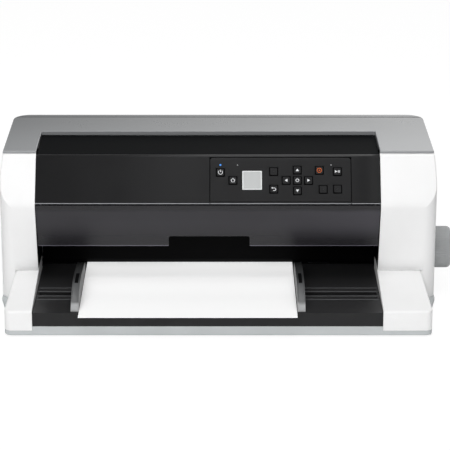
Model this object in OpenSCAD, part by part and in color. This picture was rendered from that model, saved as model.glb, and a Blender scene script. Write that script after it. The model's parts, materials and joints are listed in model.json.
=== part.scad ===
// Wide flatbed dot matrix printer with hinged covers.
// Millimetres, +Z up, +X to the right seen from the front. Inside the modules X is counted from the
// middle of the case, Y from the front face of the tray and Z from the table.

/* [Case] */
// Width of the case without the knob
body_w = 608; // [560:1:680]
// Depth of the case from the tray's front to the rear
body_d = 402; // [396:1:440]
// Height of the case over the table
body_h = 215; // [205:1:240]
// Thickness of the moulded walls
wall = 3; // [2:0.1:4]
// Radius of the upright corners of the case
corner_r = 20; // [12:1:28]
// Height of the rubber feet
foot_h = 3; // [2:0.5:8]
// Height of the lower case's rim
rim_z = 10; // [9:0.5:12]
// Height of the lower case's front ledge under the tray
ledge_z = 16.3; // [14:0.1:18]
// Width of the left side panel
left_w = 46.9; // [40:0.1:60]
// Width of the right side panel
right_w = 76.2; // [72:0.1:90]
// How much further the cheeks reach inwards at the tray
cheek_taper = 3.3; // [0:0.1:6]

/* [Face] */
// Distance of the upright face behind the tray's front
face_y = 129; // [120:1:135]
// Height of the brow between the upright face and the crease
brow_h = 9.4; // [7:0.1:14]
// Distance of the crease behind the tray's front
nose_y = 132; // [124:1:138]
// Height of the slanted face over the crease
slope_h = 62.6; // [59:0.1:65]
// Distance of the slanted face's top edge
top_front_y = 173.4; // [165:0.1:180]
// How far the top's rear edge lies before the rear
rear_run = 32; // [22:1:52]
// Height where the sloping rear turns upright
knee_z = 140; // [120:1:160]
// Height of the side panels' lower front edge, over the arms
under_z = 52; // [46:1:60]
// How far the side panels stand out beside the grey top
side_flare = 3.2; // [1:0.1:5]
// Height where the side panels begin to draw in to the grey top
flare_z = 176; // [165:1:190]

/* [Top] */
// Thickness of the grey top
cap_t = 3; // [2:0.1:4]
// Distance of the rear band's front edge
band_y = 276.4; // [270:0.1:285]
// How far the lid lies below the grey top
lid_drop = 6.5; // [5:0.1:9]
// Thickness of the lid
lid_t = 3; // [2:0.1:4]
// Radius of the lid's and the cover's pivot pins
pivot_r = 2; // [1.5:0.1:3]

/* [Front cover] */
// Height of the smoke cover's lower edge
cover_z = 86; // [80:1:95]
// Thickness of the smoke cover
cover_t = 2.8; // [2:0.1:4]
// Width of the grip notch in the cover
notch_w = 114; // [80:1:140]
// Height of the grip notch
notch_h = 15; // [10:1:20]
// Middle of the grip notch from the case's middle
notch_x = -13; // [-40:1:40]

/* [Tray and sheet] */
// Height of the tray's surface
tray_z = 35.8; // [34:0.1:38]
// Thickness of the tray
tray_t = 3; // [2:0.1:4]
// Distance of the tray's rear edge
tray_end_y = 206; // [200:1:210]
// Height of the arms at the tray's front
arm_z = 37.5; // [36:0.1:40]
// How far the arms lie inside the grey top's sides
arm_inset = 12; // [8:1:16]
// How much further inwards the arms' outer sides lie at the face
arm_taper = 5.7; // [0:0.1:8]
// Width of the sheet
sheet_w = 297; // [210:1:364]
// Length of the sheet
sheet_l = 420; // [210:1:420]
// Left edge of the sheet from the case's middle
sheet_x = -190; // [-195:1:-150]
// How far the sheet hangs over the tray's front
sheet_out = 20; // [0:1:30]

/* [Edge guides] */
// Width of an edge guide
guide_w = 10.8; // [8:0.1:14]
// Height of an edge guide over the tray
guide_h = 27; // [20:1:32]
// First and last point of an edge guide's foot
guide_y = [4, 168];
// Distance of the guides' rail slot
rail_y = 74; // [70:1:80]
// Width of the guides' rail slot
rail_w = 10; // [8:0.5:12]

/* [Knob and gears] */
// How far the knob stands out beside the grey top
knob_out = 31; // [20:1:40]
// Radius of the knob
knob_r = 30; // [22:0.5:34]
// Distance of the knob's axis
knob_y = 213; // [211:0.5:216]
// Height of the knob's axis
knob_z = 59.5; // [59:0.1:59.7]
// Radius of the knob's shaft and of the rollers' shafts
shaft_r = 4; // [3:0.1:5]
// Radius of the rubber tyres on the feed rollers
tyre_r = 8; // [7.9:0.1:8.2]
// Radius of the pinch rollers
pinch_r = 5; // [4:0.1:6]
// Tooth size of the gears
gear_m = 1; // [1:0.01:1]
// Teeth of the knob gear
knob_teeth = 38; // [38:2:40]
// Teeth of the roller gears
roller_teeth = 26; // [26:2:28]
// Teeth of the large idler gear
idler_teeth = 56; // [54:2:56]
// Teeth of the feed motor's pinion
pinion_teeth = 18; // [17:1:20]

/* [Carriage] */
// Radius of the carriage's guide shaft
guide_shaft_r = 6; // [5:0.5:7]
// Distance of the guide shaft
guide_shaft_y = 291; // [289:0.5:292]
// Height of the guide shaft
guide_shaft_z = 75; // [73:0.5:77]
// Width of the carriage
carriage_w = 40; // [34:1:46]
// Left end of the carriage at rest
carriage_x = -202; // [-202:1:-190]
// Distance of the print line
print_y = 258; // [256:0.5:260]
// Height of the timing belt
belt_z = 93; // [92.5:0.1:94]
// Width of the timing belt
belt_w = 6; // [5:0.5:7]
// Distance of the belt pulleys
pulley_y = 320; // [319:0.5:322]
// Radius of the belt pulleys
pulley_r = 6; // [5:0.1:6.5]

/* [Control panel] */
// Left end of the control panel
panel_x = -11.5; // [-30:0.5:0]
// Width of the control panel
panel_w = 197.5; // [190:0.5:215]
// Length of the control panel down the slope
panel_l = 64.8; // [60:0.1:66]
// Width and length of a key
key_size = [12.2, 12.4];
// How far a key stands out of the panel
key_proud = 0.8; // [0.4:0.1:1.2]
// Size of the square display
display_w = 27.5; // [20:0.5:30]

/* [Hidden] */
$fn = 72;

// Clearances
fit = 0.05;     // a pin or shaft in its bore, on the radius
gap = 0.3;      // pieces that move past each other
seam = 0.2;     // fixed mouldings that meet

// Places worked out from the sizes
case_x = (side_flare - knob_out) / 2;
case_y = (sheet_out - body_d) / 2;
half_w = body_w / 2;
side_w = half_w + side_flare;
open_l = -half_w + left_w;
open_r = half_w - right_w;
floor_z = foot_h + wall;
lid_z = body_h - lid_drop;
nose_z = body_h - slope_h;
brow_z = nose_z - brow_h;
rear_top_y = body_d - rear_run;
slope_tan = slope_h / (top_front_y - nose_y);
slope_a = atan(slope_tan);
rear_tan = (body_h - knee_z) / rear_run;
rear_a = atan(rear_tan);

// Steel frame
plate_t = 2;
frame_y = [tray_end_y + 2, pulley_y + 32];
frame_top_z = body_h - 25;
base_t = 1.5;
frame_xl = open_l - 1.4 - plate_t;
frame_xr = open_r + 1.4;
base_top_z = floor_z + base_t;

// Gear train
gear_back = 0.12;
knob_gear_x = [frame_xr + plate_t + 4.8, 7];
train_x = [knob_gear_x[0] + knob_gear_x[1] + 3, 7];
feed_z = tray_z - tyre_r;
roller_y = knob_y + sqrt(pow(gear_m * (knob_teeth + roller_teeth) / 2, 2) - pow(knob_z - feed_z, 2));
idler_dist = gear_m * (roller_teeth + idler_teeth) / 2;
idler_rise = 9;
idler_y = roller_y + sqrt(pow(idler_dist, 2) - pow(idler_rise, 2));
idler_z = feed_z + idler_rise;
rear_roller_y = 2 * idler_y - roller_y;
motor_dist = gear_m * (idler_teeth + pinion_teeth) / 2;
motor_a = 45;
motor_y = idler_y + motor_dist * cos(motor_a);
motor_z = idler_z + motor_dist * sin(motor_a);
motor_face_x = train_x[0] + train_x[1] + 3;
motor_w = 42;
motor_l = 32;
motor_hole = 31;

// Mesh angles along the train, each worked out from the gear before it
knob_to_roller = atan2(feed_z - knob_z, roller_y - knob_y);
roller_to_idler = atan2(idler_z - feed_z, idler_y - roller_y);
idler_to_rear = atan2(feed_z - idler_z, rear_roller_y - idler_y);
knob_turn = 0;
roller_turn = mesh_turn(knob_to_roller, knob_turn, knob_teeth, roller_teeth);
idler_turn = mesh_turn(roller_to_idler, roller_turn, roller_teeth, idler_teeth);
rear_turn = mesh_turn(idler_to_rear, idler_turn, idler_teeth, roller_teeth);
pinion_turn = mesh_turn(motor_a, idler_turn, idler_teeth, pinion_teeth);

// Sheet path and print line
sheet_t = 0.3;
path_z = tray_z + gap;
guide_lip_z = path_z + sheet_t + 2;
tyre_w = 30;
tyre_x = [for (i = [0:3]) -170 + 100 * i];
pinch_z = path_z + sheet_t + gap + 0.2 + pinch_r;
ribbon_z = guide_lip_z + 0.1;
head_z = ribbon_z + 0.8;
cartridge_z = 133;
cartridge_t = 18;
leg_w = 8;
cartridge_x = [carriage_x - 6 - leg_w, frame_xr - 45 + leg_w];
pulley_x = [frame_xl + plate_t + 22, frame_xr - 22];
bracket_z = belt_z - 9;

// Pivots of the lid and the cover
lid_pivot = [band_y - 6.4, lid_z - 4];
cover_top_z = nose_z - 4.9;
cover_pivot = [nose_y + 2.5, cover_top_z - 2.7];
cover_lean = 5;

// Rail slots and grooves in the tray
groove_y = [57, 92];
groove_w = [6, 4];

// Keys: name, place along the panel in steps of a 79th of its width, distance down from its top
KEYS = [["key_power", 5.72, 21.3], ["key_home", 12.76, 33.2], ["key_source", 35.68, 20.2],
  ["key_back", 35.68, 45.9], ["key_up", 48.96, 18], ["key_ok", 48.96, 33.2], ["key_left", 42.68, 33.2],
  ["key_right", 55.24, 33.2], ["key_down", 48.96, 48.4], ["key_cancel", 61.36, 18.5],
  ["key_pause", 71.48, 20.2], ["key_eject", 63.4, 46.3], ["key_menu", 71.48, 45.9]];
display_at = [23.52, 32.9];
function panel_at(step) = panel_x + step * panel_w / 79;
panel_t = 1.5;
board_n = -6.8;
board_t = 1.6;

// ---------------------------------------------------------------- helpers

// Angle of gear B that meshes with gear A, where B lies at angle phi from A
function mesh_turn(phi, turn_a, teeth_a, teeth_b) =
  phi + 180 - 180 / teeth_b + (phi - turn_a) * teeth_a / teeth_b;

// Slanted face's distance at height z, moved inwards by t
function slope_y(z, t = 0) = nose_y + (z - nose_z) / slope_tan + t / sin(slope_a);

// Cheek's inner face at height z, as an offset towards the opening
function taper_at(z) = z > brow_z ? 0 : cheek_taper * (brow_z - z) / (brow_z - tray_z);

// Side outline of the case's front and top as [y, z] points, moved inwards by t, up to the height top
function case_outline(t, top) = t == 0
  ? [[face_y, rim_z + seam], [face_y, brow_z], [(face_y + nose_y) / 2 - 0.5, (brow_z + nose_z) / 2 + 1.2],
     [nose_y, nose_z], [slope_y(top), top], [body_d + 1, top], [body_d + 1, rim_z + seam]]
  : [[face_y + t, 0], [face_y + t, inner_brow(t)], [slope_y(top - t, t), top - t],
     [body_d + 1, top - t], [body_d + 1, 0]];
function inner_brow(t) = nose_z + (face_y + t - nose_y - t / sin(slope_a)) * slope_tan;
function rear_y(z, t) = body_d - (z - knee_z) / rear_tan - t / sin(rear_a);

// Involute tooth of a gear as [radius, angle] points
function involute(a) = tan(a) * 180 / PI - a;
function half_angle(r, rp, rb, teeth) =
  90 / teeth - gear_back / rp * 90 / PI + involute(20) - involute(acos(min(1, rb / r)));
function tooth(teeth) =
  let (rp = gear_m * teeth / 2, rb = rp * cos(20), ra = rp + gear_m, rf = rp - 1.25 * gear_m)
  let (r0 = max(rb, rf + 0.05), steps = [0, 0.3, 0.65, 1])
  let (flank = [for (s = steps) let (r = r0 + (ra - r0) * s) [r, half_angle(r, rp, rb, teeth)]])
  concat([[rf, -flank[0][1]]], [for (p = flank) [p[0], -p[1]]],
    [for (i = [3:-1:0]) flank[i]], [[rf, flank[0][1]]]);
function gear_outline(teeth) =
  [for (k = [0:teeth - 1]) for (p = tooth(teeth))
    let (a = p[1] + k * 360 / teeth) [p[0] * cos(a), p[0] * sin(a)]];

// Moves case coordinates to the part's own frame
module at_case() { translate([case_x, case_y, 0]) children(); }

module block(x0, x1, y0, y1, z0, z1) { translate([x0, y0, z0]) cube([x1 - x0, y1 - y0, z1 - z0]); }

// Prism along X of an outline of [y, z] points
module along_x(x0, x1, points) {
  translate([x0, 0, 0]) rotate([90, 0, 90]) linear_extrude(x1 - x0) polygon(points);
}

// Prism along Y of an outline of [x, z] points
module along_y(y0, y1, points) {
  translate([0, y1, 0]) rotate([90, 0, 0]) linear_extrude(y1 - y0) polygon(points);
}

module rod_x(x0, x1, at, r) {
  translate([x0, at[0], at[1]]) rotate([0, 90, 0]) cylinder(h = x1 - x0, r = r);
}

module rod_z(z0, z1, at, r) { translate([at[0], at[1], z0]) cylinder(h = z1 - z0, r = r); }

// Upright prism with rounded corners
module rounded(x0, x1, y0, y1, z0, z1, r) {
  translate([0, 0, z0]) linear_extrude(z1 - z0) union() {
    translate([x0 + r, y0]) square([x1 - x0 - 2 * r, y1 - y0]);
    translate([x0, y0 + r]) square([x1 - x0, y1 - y0 - 2 * r]);
    for (x = [x0 + r, x1 - r], y = [y0 + r, y1 - r]) translate([x, y]) circle(r);
  }
}

// The case's plan, moved inwards by t
module case_plan(t, z0, z1) {
  rounded(-side_w + t, side_w - t, face_y + t, body_d - t, z0, z1, corner_r - t);
}

// A prism w to each side that leans forwards with the rear's slope, moved inwards by t
module leaning_plan(t, w) {
  translate([0, body_d, knee_z]) rotate([90 - rear_a, 0, 0])
    rounded(-w + t, w - t, -body_d, -t, -200, 260, corner_r + 4 - t);
}

// The side's outline over the flare's foot, where it draws in to the grey top, moved inwards by t
function flare_edge(t) = [[-half_w + t, body_h + 1], [-half_w - 0.6 * side_flare + t, flare_z + 20],
  [-side_w + t, flare_z]];

// Panel coordinates: x, distance up the slope from the crease, height over the slanted face
module on_slope() { translate([0, nose_y, nose_z]) rotate([slope_a, 0, 0]) children(); }

// Gear with its axis along X, tooth zero turned to the angle turn
module gear_x(x0, width, at, teeth, turn) {
  translate([x0, at[0], at[1]]) rotate([90, 0, 90]) rotate([0, 0, turn])
    linear_extrude(width) polygon(gear_outline(teeth));
}

// ---------------------------------------------------------------- casing

arm_x = half_w - arm_inset;
shoulder_y = face_y - 74;

module base_outline(t, z0, z1) {
  case_plan(t, z0, z1);
  rounded(-arm_x + t, arm_x - t, t, body_d / 2, z0, z1, 10 - t);
}

// Shoulders that widen the narrow front to the case's sides
module base_shoulders() {
  for (side = [-1, 1]) scale([side, 1, 1]) translate([0, 0, foot_h]) linear_extrude(rim_z - foot_h)
    polygon([[arm_x - 1, shoulder_y], [side_w, face_y + 6], [side_w, face_y + corner_r + 1],
      [arm_x - 1, face_y + corner_r + 1]]);
}

module lower_case() {
  posts = [for (x = [-205, -10, 165], y = [22, 180]) [x, y]];
  at_case() color("silver") {
    difference() {
      union() {
        base_outline(0, foot_h, rim_z);
        base_shoulders();
      }
      base_outline(wall, floor_z, rim_z + 1);
      for (foot = foot_places()) rod_z(foot_h - 1, floor_z + 1, foot, 3 + fit);
      // air slots under the electronics
      for (i = [0:9]) block(-120 + i * 24, -112 + i * 24, 250, 300, foot_h - 1, floor_z + 1);
    }
    block(open_l + cheek_taper + seam, open_r - cheek_taper - seam, 0, wall, foot_h, ledge_z);
    for (p = posts) rod_z(foot_h, tray_z - tray_t, p, 5);
  }
}

function foot_places() = [for (x = [-half_w + 36, half_w - 36], y = [26, body_d - 30]) [x, y]];

module rubber_feet() {
  at_case() color("dimgray") for (foot = foot_places()) {
    rod_z(0, foot_h, foot, 9);
    rod_z(foot_h, floor_z - 0.5, foot, 3);
  }
}

// Left side panel; the right one is the same shape mirrored with its own width
module side_shell(width) {
  inner_x = -half_w + width;
  cheek = wall;
  top = body_h - cap_t - seam;
  difference() {
    intersection() {
      along_x(-side_w, inner_x + cheek_taper, case_outline(0, top));
      case_plan(0, 0, body_h);
      leaning_plan(0, side_w);
      along_y(0, body_d + 1, concat([[-side_w, 0], [inner_x + taper_at(rim_z), 0],
        [inner_x + taper_at(tray_z), tray_z], [inner_x, brow_z], [inner_x, body_h + 1]], flare_edge(0)));
    }
    intersection() {
      along_x(-side_w, inner_x + cheek_taper, case_outline(wall, top));
      case_plan(wall, -1, body_h);
      leaning_plan(wall, side_w);
      along_y(0, body_d, concat([[-side_w + wall, -1], [inner_x - cheek + taper_at(tray_z), -1],
        [inner_x - cheek + taper_at(tray_z), tray_z], [inner_x - cheek, brow_z],
        [inner_x - cheek, body_h + 1]], flare_edge(wall)));
    }
    // the cheek ends behind the tray, and leaves room for the grey top's flange and the rear panel
    block(inner_x - cheek - seam, inner_x + cheek_taper + 1, tray_end_y - 1, body_d - wall, -1, top - wall);
    block(inner_x - cheek - seam, inner_x + 1, tray_end_y - 1, band_y + wall + seam, top - wall - 1, top + 1);
    block(inner_x, inner_x + cheek_taper + 1, tray_end_y - 1, body_d + 1, -1, body_h);
    intersection() {
      block(inner_x - cheek - 1, inner_x + 1, nose_y, tray_end_y, frame_top_z, body_h);
      along_x(-half_w, half_w, case_outline(wall - 0.5, top + wall));
    }
    // room for the arm
    block(-arm_x + arm_taper - gap, inner_x + cheek_taper + 1, 0, tray_end_y, -1, under_z);
    // the cover's pivot bore
    rod_x(inner_x - cheek - 1, inner_x + 1, cover_pivot, pivot_r + fit);
  }
  // ceiling over the arm
  intersection() {
    case_plan(1, 0, body_h);
    along_y(face_y + wall, ceiling_end_y, [[-side_w + 1, under_z],
      [inner_x - cheek + taper_at(under_z) + 1, under_z],
      [inner_x - cheek + taper_at(under_z) + 1, under_z + 2], [-side_w + 1, under_z + 2]]);
  }
}

ceiling_end_y = knob_y - gear_m * (knob_teeth / 2 + 1) - 1.5;
inlet_x = [-half_w + 16, -half_w + 43];
inlet_z = [30, 50];

module side_panel_left() {
  at_case() color("white") difference() {
    side_shell(left_w);
    block(inlet_x[0] - seam, inlet_x[1] + seam, body_d - wall - 1, body_d + 1,
      inlet_z[0] - seam, inlet_z[1] + seam);
  }
}

module side_panel_right() {
  at_case() color("white") difference() {
    mirror([1, 0, 0]) side_shell(right_w);
    rod_x(side_w - wall - 1, side_w + 1, [knob_y, knob_z], 11);
  }
}

module top_frame() {
  under = body_h - cap_t;
  at_case() color("darkgray") difference() {
    union() {
      difference() {
        intersection() {
          leaning_plan(0, half_w);
          along_x(-half_w - 1, half_w + 1, [[slope_y(under), under], [top_front_y, body_h],
            [body_d, body_h], [body_d, under]]);
        }
        block(open_l, open_r, 0, band_y, under - 1, body_h + 1);
      }
      block(open_l, open_r, band_y, band_y + wall, lid_z + 0.5, under);
      for (x = [open_l - wall, open_r])
        block(x, x + wall, top_front_y + 8, band_y + wall, lid_z - 10.5, under);
    }
    for (x = [open_l - wall - 1, open_r - 1]) rod_x(x, x + wall + 2, lid_pivot, pivot_r + fit);
  }
}

ports_x = [-14, 76];
ports_z = [10.6, 26];
slot_x = [-232, 202];
slot_z = [tray_z - 1.8, tray_z + 10];

// A sill, a wall over the slot and the two ends between them
module rear_panel() {
  top = body_h - cap_t - seam;
  x = [open_l + seam, open_r - seam];
  at_case() color("lightgray") difference() {
    union() {
      block(x[0], x[1], body_d - wall, body_d, rim_z + seam, slot_z[0]);
      along_x(x[0], x[1], [[rear_y(top, 0), top], [body_d, knee_z], [body_d, slot_z[1]],
        [body_d - wall, slot_z[1]], [body_d - wall, knee_z - wall / 2], [rear_y(top, wall), top]]);
      for (end = [[x[0], slot_x[0]], [slot_x[1], x[1]]])
        block(end[0], end[1], body_d - wall, body_d, slot_z[0] + seam / 2, slot_z[1] - seam / 2);
    }
    block(ports_x[0], ports_x[1], body_d - wall - 1, body_d + 1, ports_z[0], ports_z[1]);
    // air slots
    for (i = [0:17]) block(-200 + i * 12, -194 + i * 12, body_d - wall - 1, body_d + 1, 80, 120);
    for (p = rear_screws()) {
      translate([p[0], body_d + 1, p[1]]) rotate([90, 0, 0]) cylinder(h = wall + 2, r = 1.6);
      translate([p[0], body_d + 1, p[1]]) rotate([90, 0, 0]) cylinder(h = 2.5, r = 4);
    }
  }
}

function rear_screws() = [for (x = [open_l + 12, open_r - 12], z = [20, 132]) [x, z]];

module case_screws() {
  at_case() color("gray") {
    for (p = rear_screws()) translate([p[0], body_d - 0.2, p[1]]) rotate([90, 0, 0]) {
      cylinder(h = 1.3, r = 3.6);
      cylinder(h = 9, r = 1.5);
    }
    for (x = [frame_xl + plate_t + 6, frame_xr - 6], y = [frame_y[0] + 8, frame_y[1] - 8])
      rod_z(base_top_z + plate_t, base_top_z + plate_t + 2, [x, y], 3);
  }
}

// ---------------------------------------------------------------- front panel and its controls

panel_top_s = panel_l;
window = [[panel_at(2.4), panel_at(76.6)], [6, 58]];
board_posts = [for (x = [panel_x + 2.5, panel_x + panel_w - 2.5], s = [13, 52]) [x, s]];

module slope_block(x, s, n0, n1) { on_slope() block(x[0], x[1], s[0], s[1], n0, n1); }

module front_panel() {
  top = lid_z + 1;
  at_case() color([0.2, 0.2, 0.2]) {
    difference() {
      along_x(open_l + gap, open_r - gap, [[nose_y - 0.8, nose_z - 2.4], [nose_y, nose_z],
        [slope_y(top), top], [top_front_y + 1.1, top], [top_front_y + 1.1, top - wall],
        [slope_y(top - wall, wall), top - wall], [nose_y + 3.6, nose_z + 0.2], [nose_y + 3.6, nose_z - 2.4]]);
      slope_block([panel_x - seam, panel_x + panel_w + seam], [0.8, panel_l + seam], -panel_t, 2);
      slope_block(window[0], window[1], -wall - 2, 0);
    }
    for (p = board_posts) on_slope() rod_z(board_n, -wall + 0.1, p, 2.2);
  }
}

module control_panel() {
  at_case() color([0.12, 0.12, 0.13]) on_slope() difference() {
    union() {
      rounded(panel_x, panel_x + panel_w, 1, panel_l, -panel_t, 0, 4);
      block(panel_x, panel_x + panel_w, 1, 20, -panel_t, 0);
    }
    for (key = KEYS) translate([panel_at(key[1]), panel_top_s - key[2], -panel_t - 1])
      linear_extrude(panel_t + 2) square([key_size[0] + 0.7, key_size[1] + 0.7], center = true);
    translate([panel_at(display_at[0]), panel_top_s - display_at[1], -panel_t - 1])
      linear_extrude(panel_t + 2) square(display_w + 0.4, center = true);
  }
}

module display() {
  at_case() color([0.75, 0.77, 0.78]) on_slope()
    translate([panel_at(display_at[0]), panel_top_s - display_at[1], board_n])
    linear_extrude(-board_n - 0.1) square(display_w, center = true);
}

module control_board() {
  at_case() color("darkgreen") on_slope() {
    block(panel_x - 2, panel_x + panel_w + 2, 4, 60, board_n - board_t, board_n);
    for (step = [12.6, 52.6, 68.6]) block(panel_at(step), panel_at(step) + 12, 22, 30, board_n - board_t - 2, board_n - board_t);
  }
}

// A key cap with a flange behind the panel and a stem over its switch
module key_cap(name) {
  key = [for (k = KEYS) if (k[0] == name) k][0];
  at_case() color([0.22, 0.22, 0.23]) on_slope() translate([panel_at(key[1]), panel_top_s - key[2], 0]) {
    translate([0, 0, -3]) linear_extrude(3 + key_proud) square(key_size, center = true);
    translate([0, 0, -3]) linear_extrude(1.1) square([key_size[0] + 1.8, key_size[1] + 1.8], center = true);
    rod_z(-5.2, -3, [0, 0], 2);
  }
}

// ---------------------------------------------------------------- tray, arms, covers and sheet

module tray() {
  x0 = open_l + cheek_taper + seam;
  x1 = open_r - cheek_taper - seam;
  at_case() color([0.13, 0.13, 0.14]) difference() {
    union() {
      block(x0, x1, 0, tray_end_y, tray_z - tray_t, tray_z);
      block(x0, x1, 0, wall, ledge_z, tray_z);
      for (x = [x0, x1 - wall]) block(x, x + wall, wall, tray_end_y, ledge_z, tray_z);
    }
    block(x0 + 4, x1 - 4, rail_y, rail_y + rail_w, 0, tray_z + 1);
    for (i = [0, 1])
      block(x0 + 4, x1 - 4, groove_y[i], groove_y[i] + groove_w[i], tray_z - 1.4, tray_z + 1);
  }
}

arm_end_y = ceiling_end_y - 1.5;
arm_rear_z = under_z - seam;

// A left arm as a whole, moved inwards by t: its top rises to the face, then runs level under the panel
module arm_form(inner_x, t, low, rear) {
  y1 = face_y - 1;
  intersection() {
    along_x(-arm_x, inner_x - t, [[t, low], [rear, low], [rear, arm_rear_z - t], [y1, arm_rear_z - t],
      [t, arm_z - t]]);
    translate([0, 0, low]) linear_extrude(body_h) union() {
      hull() {
        translate([-arm_x + 10, 10]) circle(10 - t, $fn = 48);
        polygon([[-arm_x + arm_taper + t, y1], [inner_x, y1], [inner_x, t], [-arm_x + 10, t]]);
      }
      translate([-arm_x + arm_taper + t, y1 - 1]) square([inner_x + arm_x - arm_taper - t, rear - y1 + 1]);
    }
  }
}

module arm(inner_x) {
  difference() {
    arm_form(inner_x, 0, rim_z + seam, arm_end_y);
    arm_form(inner_x, wall, rim_z - 1, arm_end_y + 1);
  }
}

module arm_left() {
  at_case() color("white") arm(open_l + cheek_taper);
}

module arm_right() {
  at_case() color("white") mirror([1, 0, 0]) arm(-open_r + cheek_taper);
}

module top_lid() {
  x0 = open_l + 0.5;
  x1 = open_r - 0.5;
  y0 = top_front_y + 2.4;
  y1 = band_y - 0.8;
  at_case() color([0.16, 0.16, 0.17]) {
    block(x0, x1, y0, y1, lid_z - lid_t, lid_z);
    block(x0, x1, y0, y0 + lid_t, lid_z - 9, lid_z);
    for (x = [x0, x1 - lid_t]) block(x, x + lid_t, y0, lid_pivot[0], lid_z - 7, lid_z);
    // stiffening ribs under the lid
    for (x = [-170, -85, 0, 85, 165]) block(x, x + 2, y0 + lid_t, y1 - 14, lid_z - 6, lid_z - lid_t);
    for (x = [x0, x1 - 8]) rod_x(x, x + 8, lid_pivot, 3);
    rod_x(open_l - 2.4, x0 + 1, lid_pivot, pivot_r);
    rod_x(x1 - 1, open_r + 2.4, lid_pivot, pivot_r);
  }
}

module front_cover() {
  y_top = nose_y - 0.5;
  lean = cover_lean;
  at_case() color([0.25, 0.25, 0.28]) {
    difference() {
      intersection() {
        along_x(open_l, open_r, [[y_top, cover_top_z], [y_top + cover_t, cover_top_z],
          [y_top + cover_t + lean, cover_z], [y_top + lean, cover_z]]);
        along_y(0, body_d, [[open_l + 0.5 + taper_at(cover_z), cover_z], [open_l + 0.5, brow_z],
          [open_l + 0.5, body_h], [open_r - 0.5, body_h], [open_r - 0.5, brow_z],
          [open_r - 0.5 - taper_at(cover_z), cover_z]]);
      }
      block(notch_x - notch_w / 2, notch_x + notch_w / 2, 0, body_d, 0, cover_z + notch_h);
    }
    for (x = [open_l + 0.5, open_r - 8.5]) rod_x(x, x + 8, cover_pivot, 2.7);
    rod_x(open_l - 2.4, open_l + 2, cover_pivot, pivot_r);
    rod_x(open_r - 2, open_r + 2.4, cover_pivot, pivot_r);
  }
}

// Arched outline of an edge guide: an elliptic rise and a long fall
function guide_outline() =
  let (y0 = guide_y[0], y1 = guide_y[1], crest = y0 + 66, z0 = tray_z + gap)
  let (rise = [for (i = [0:8]) let (a = i * 11.25) [crest - (crest - y0) * cos(a), z0 + guide_h * sin(a)]])
  let (fall = [for (i = [1:6]) let (u = i / 6) [crest + (y1 - 4 - crest) * u, z0 + guide_h - 10 * pow(u, 1.5)]])
  concat(rise, fall, [[y1, z0 + guide_h - 13], [y1, z0]]);

module edge_guide(x0) {
  slot_w = guide_w / 2;
  difference() {
    along_x(x0, x0 + guide_w, guide_outline());
    block(x0 + (guide_w - slot_w) / 2, x0 + (guide_w + slot_w) / 2, guide_y[0] + 42, guide_y[0] + 83,
      tray_z + guide_h - 9, tray_z + guide_h + 9);
  }
  // neck through the rail slot and the hook under the tray
  block(x0, x0 + guide_w, rail_y + gap, rail_y + rail_w - gap, tray_z - tray_t - 3.4, tray_z + gap + 1);
  block(x0, x0 + guide_w, rail_y - 4, rail_y + rail_w + 4, tray_z - tray_t - 3.4, tray_z - tray_t - gap);
}

module edge_guide_left() {
  at_case() color("gray") edge_guide(sheet_x - 0.4 - guide_w);
}

module edge_guide_right() {
  at_case() color("gray") edge_guide(sheet_x + sheet_w + 0.8);
}

module sheet() {
  at_case() color("white")
    block(sheet_x, sheet_x + sheet_w, -sheet_out, sheet_l - sheet_out, path_z, path_z + sheet_t);
}

// ---------------------------------------------------------------- steel frame

frame_outline = [[frame_y[0], base_top_z], [frame_y[1], base_top_z], [frame_y[1], frame_top_z - 60],
  [frame_y[1] - 24, frame_top_z], [frame_y[0] + 12, frame_top_z], [frame_y[0], frame_top_z - 30]];
guide_foot_y = [[frame_y[0] + 24, frame_y[0] + 40], [frame_y[1] - 36, frame_y[1] - 8]];

// A side plate with a foot flange, collars for the shafts, and windows that lighten it
module frame_plate(x0, inward, outward) {
  shafts = [[roller_y, feed_z], [rear_roller_y, feed_z]];
  thin = [[roller_y, pinch_z], [rear_roller_y, pinch_z]];
  foot_x = inward > 0 ? [x0 + plate_t, x0 + plate_t + 12] : [x0 - 12, x0];
  difference() {
    union() {
      along_x(x0, x0 + plate_t, frame_outline);
      block(foot_x[0], foot_x[1], frame_y[0], frame_y[1], base_top_z, base_top_z + plate_t);
      for (y = guide_foot_y)
        block(foot_x[0], foot_x[1], y[0], y[1], tray_z - tray_t - 2 - 1.3, tray_z - tray_t - 1.3);
      for (s = shafts) rod_x(outward > 0 ? x0 + plate_t : x0 - 3, outward > 0 ? x0 + plate_t + 3 : x0, s, 7);
    }
    for (s = shafts) rod_x(x0 - 4, x0 + plate_t + 4, s, shaft_r + fit);
    for (s = thin) rod_x(x0 - 1, x0 + plate_t + 1, s, 2 + fit);
    rod_x(x0 - 1, x0 + plate_t + 1, [guide_shaft_y, guide_shaft_z], guide_shaft_r + fit);
    block(x0 - 1, x0 + plate_t + 1, print_y - 8, pulley_y, frame_top_z - 65, frame_top_z - 15);
  }
}

module frame_plate_left() {
  at_case() color("lightsteelblue") {
    frame_plate(frame_xl, 1, -1);
    block(frame_xl + plate_t, pulley_x[0] + 10, pulley_y - 12, pulley_y + 12, bracket_z, bracket_z + 2);
    rod_z(bracket_z, belt_z + belt_w + 2, [pulley_x[0], pulley_y], 2);
  }
}

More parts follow.
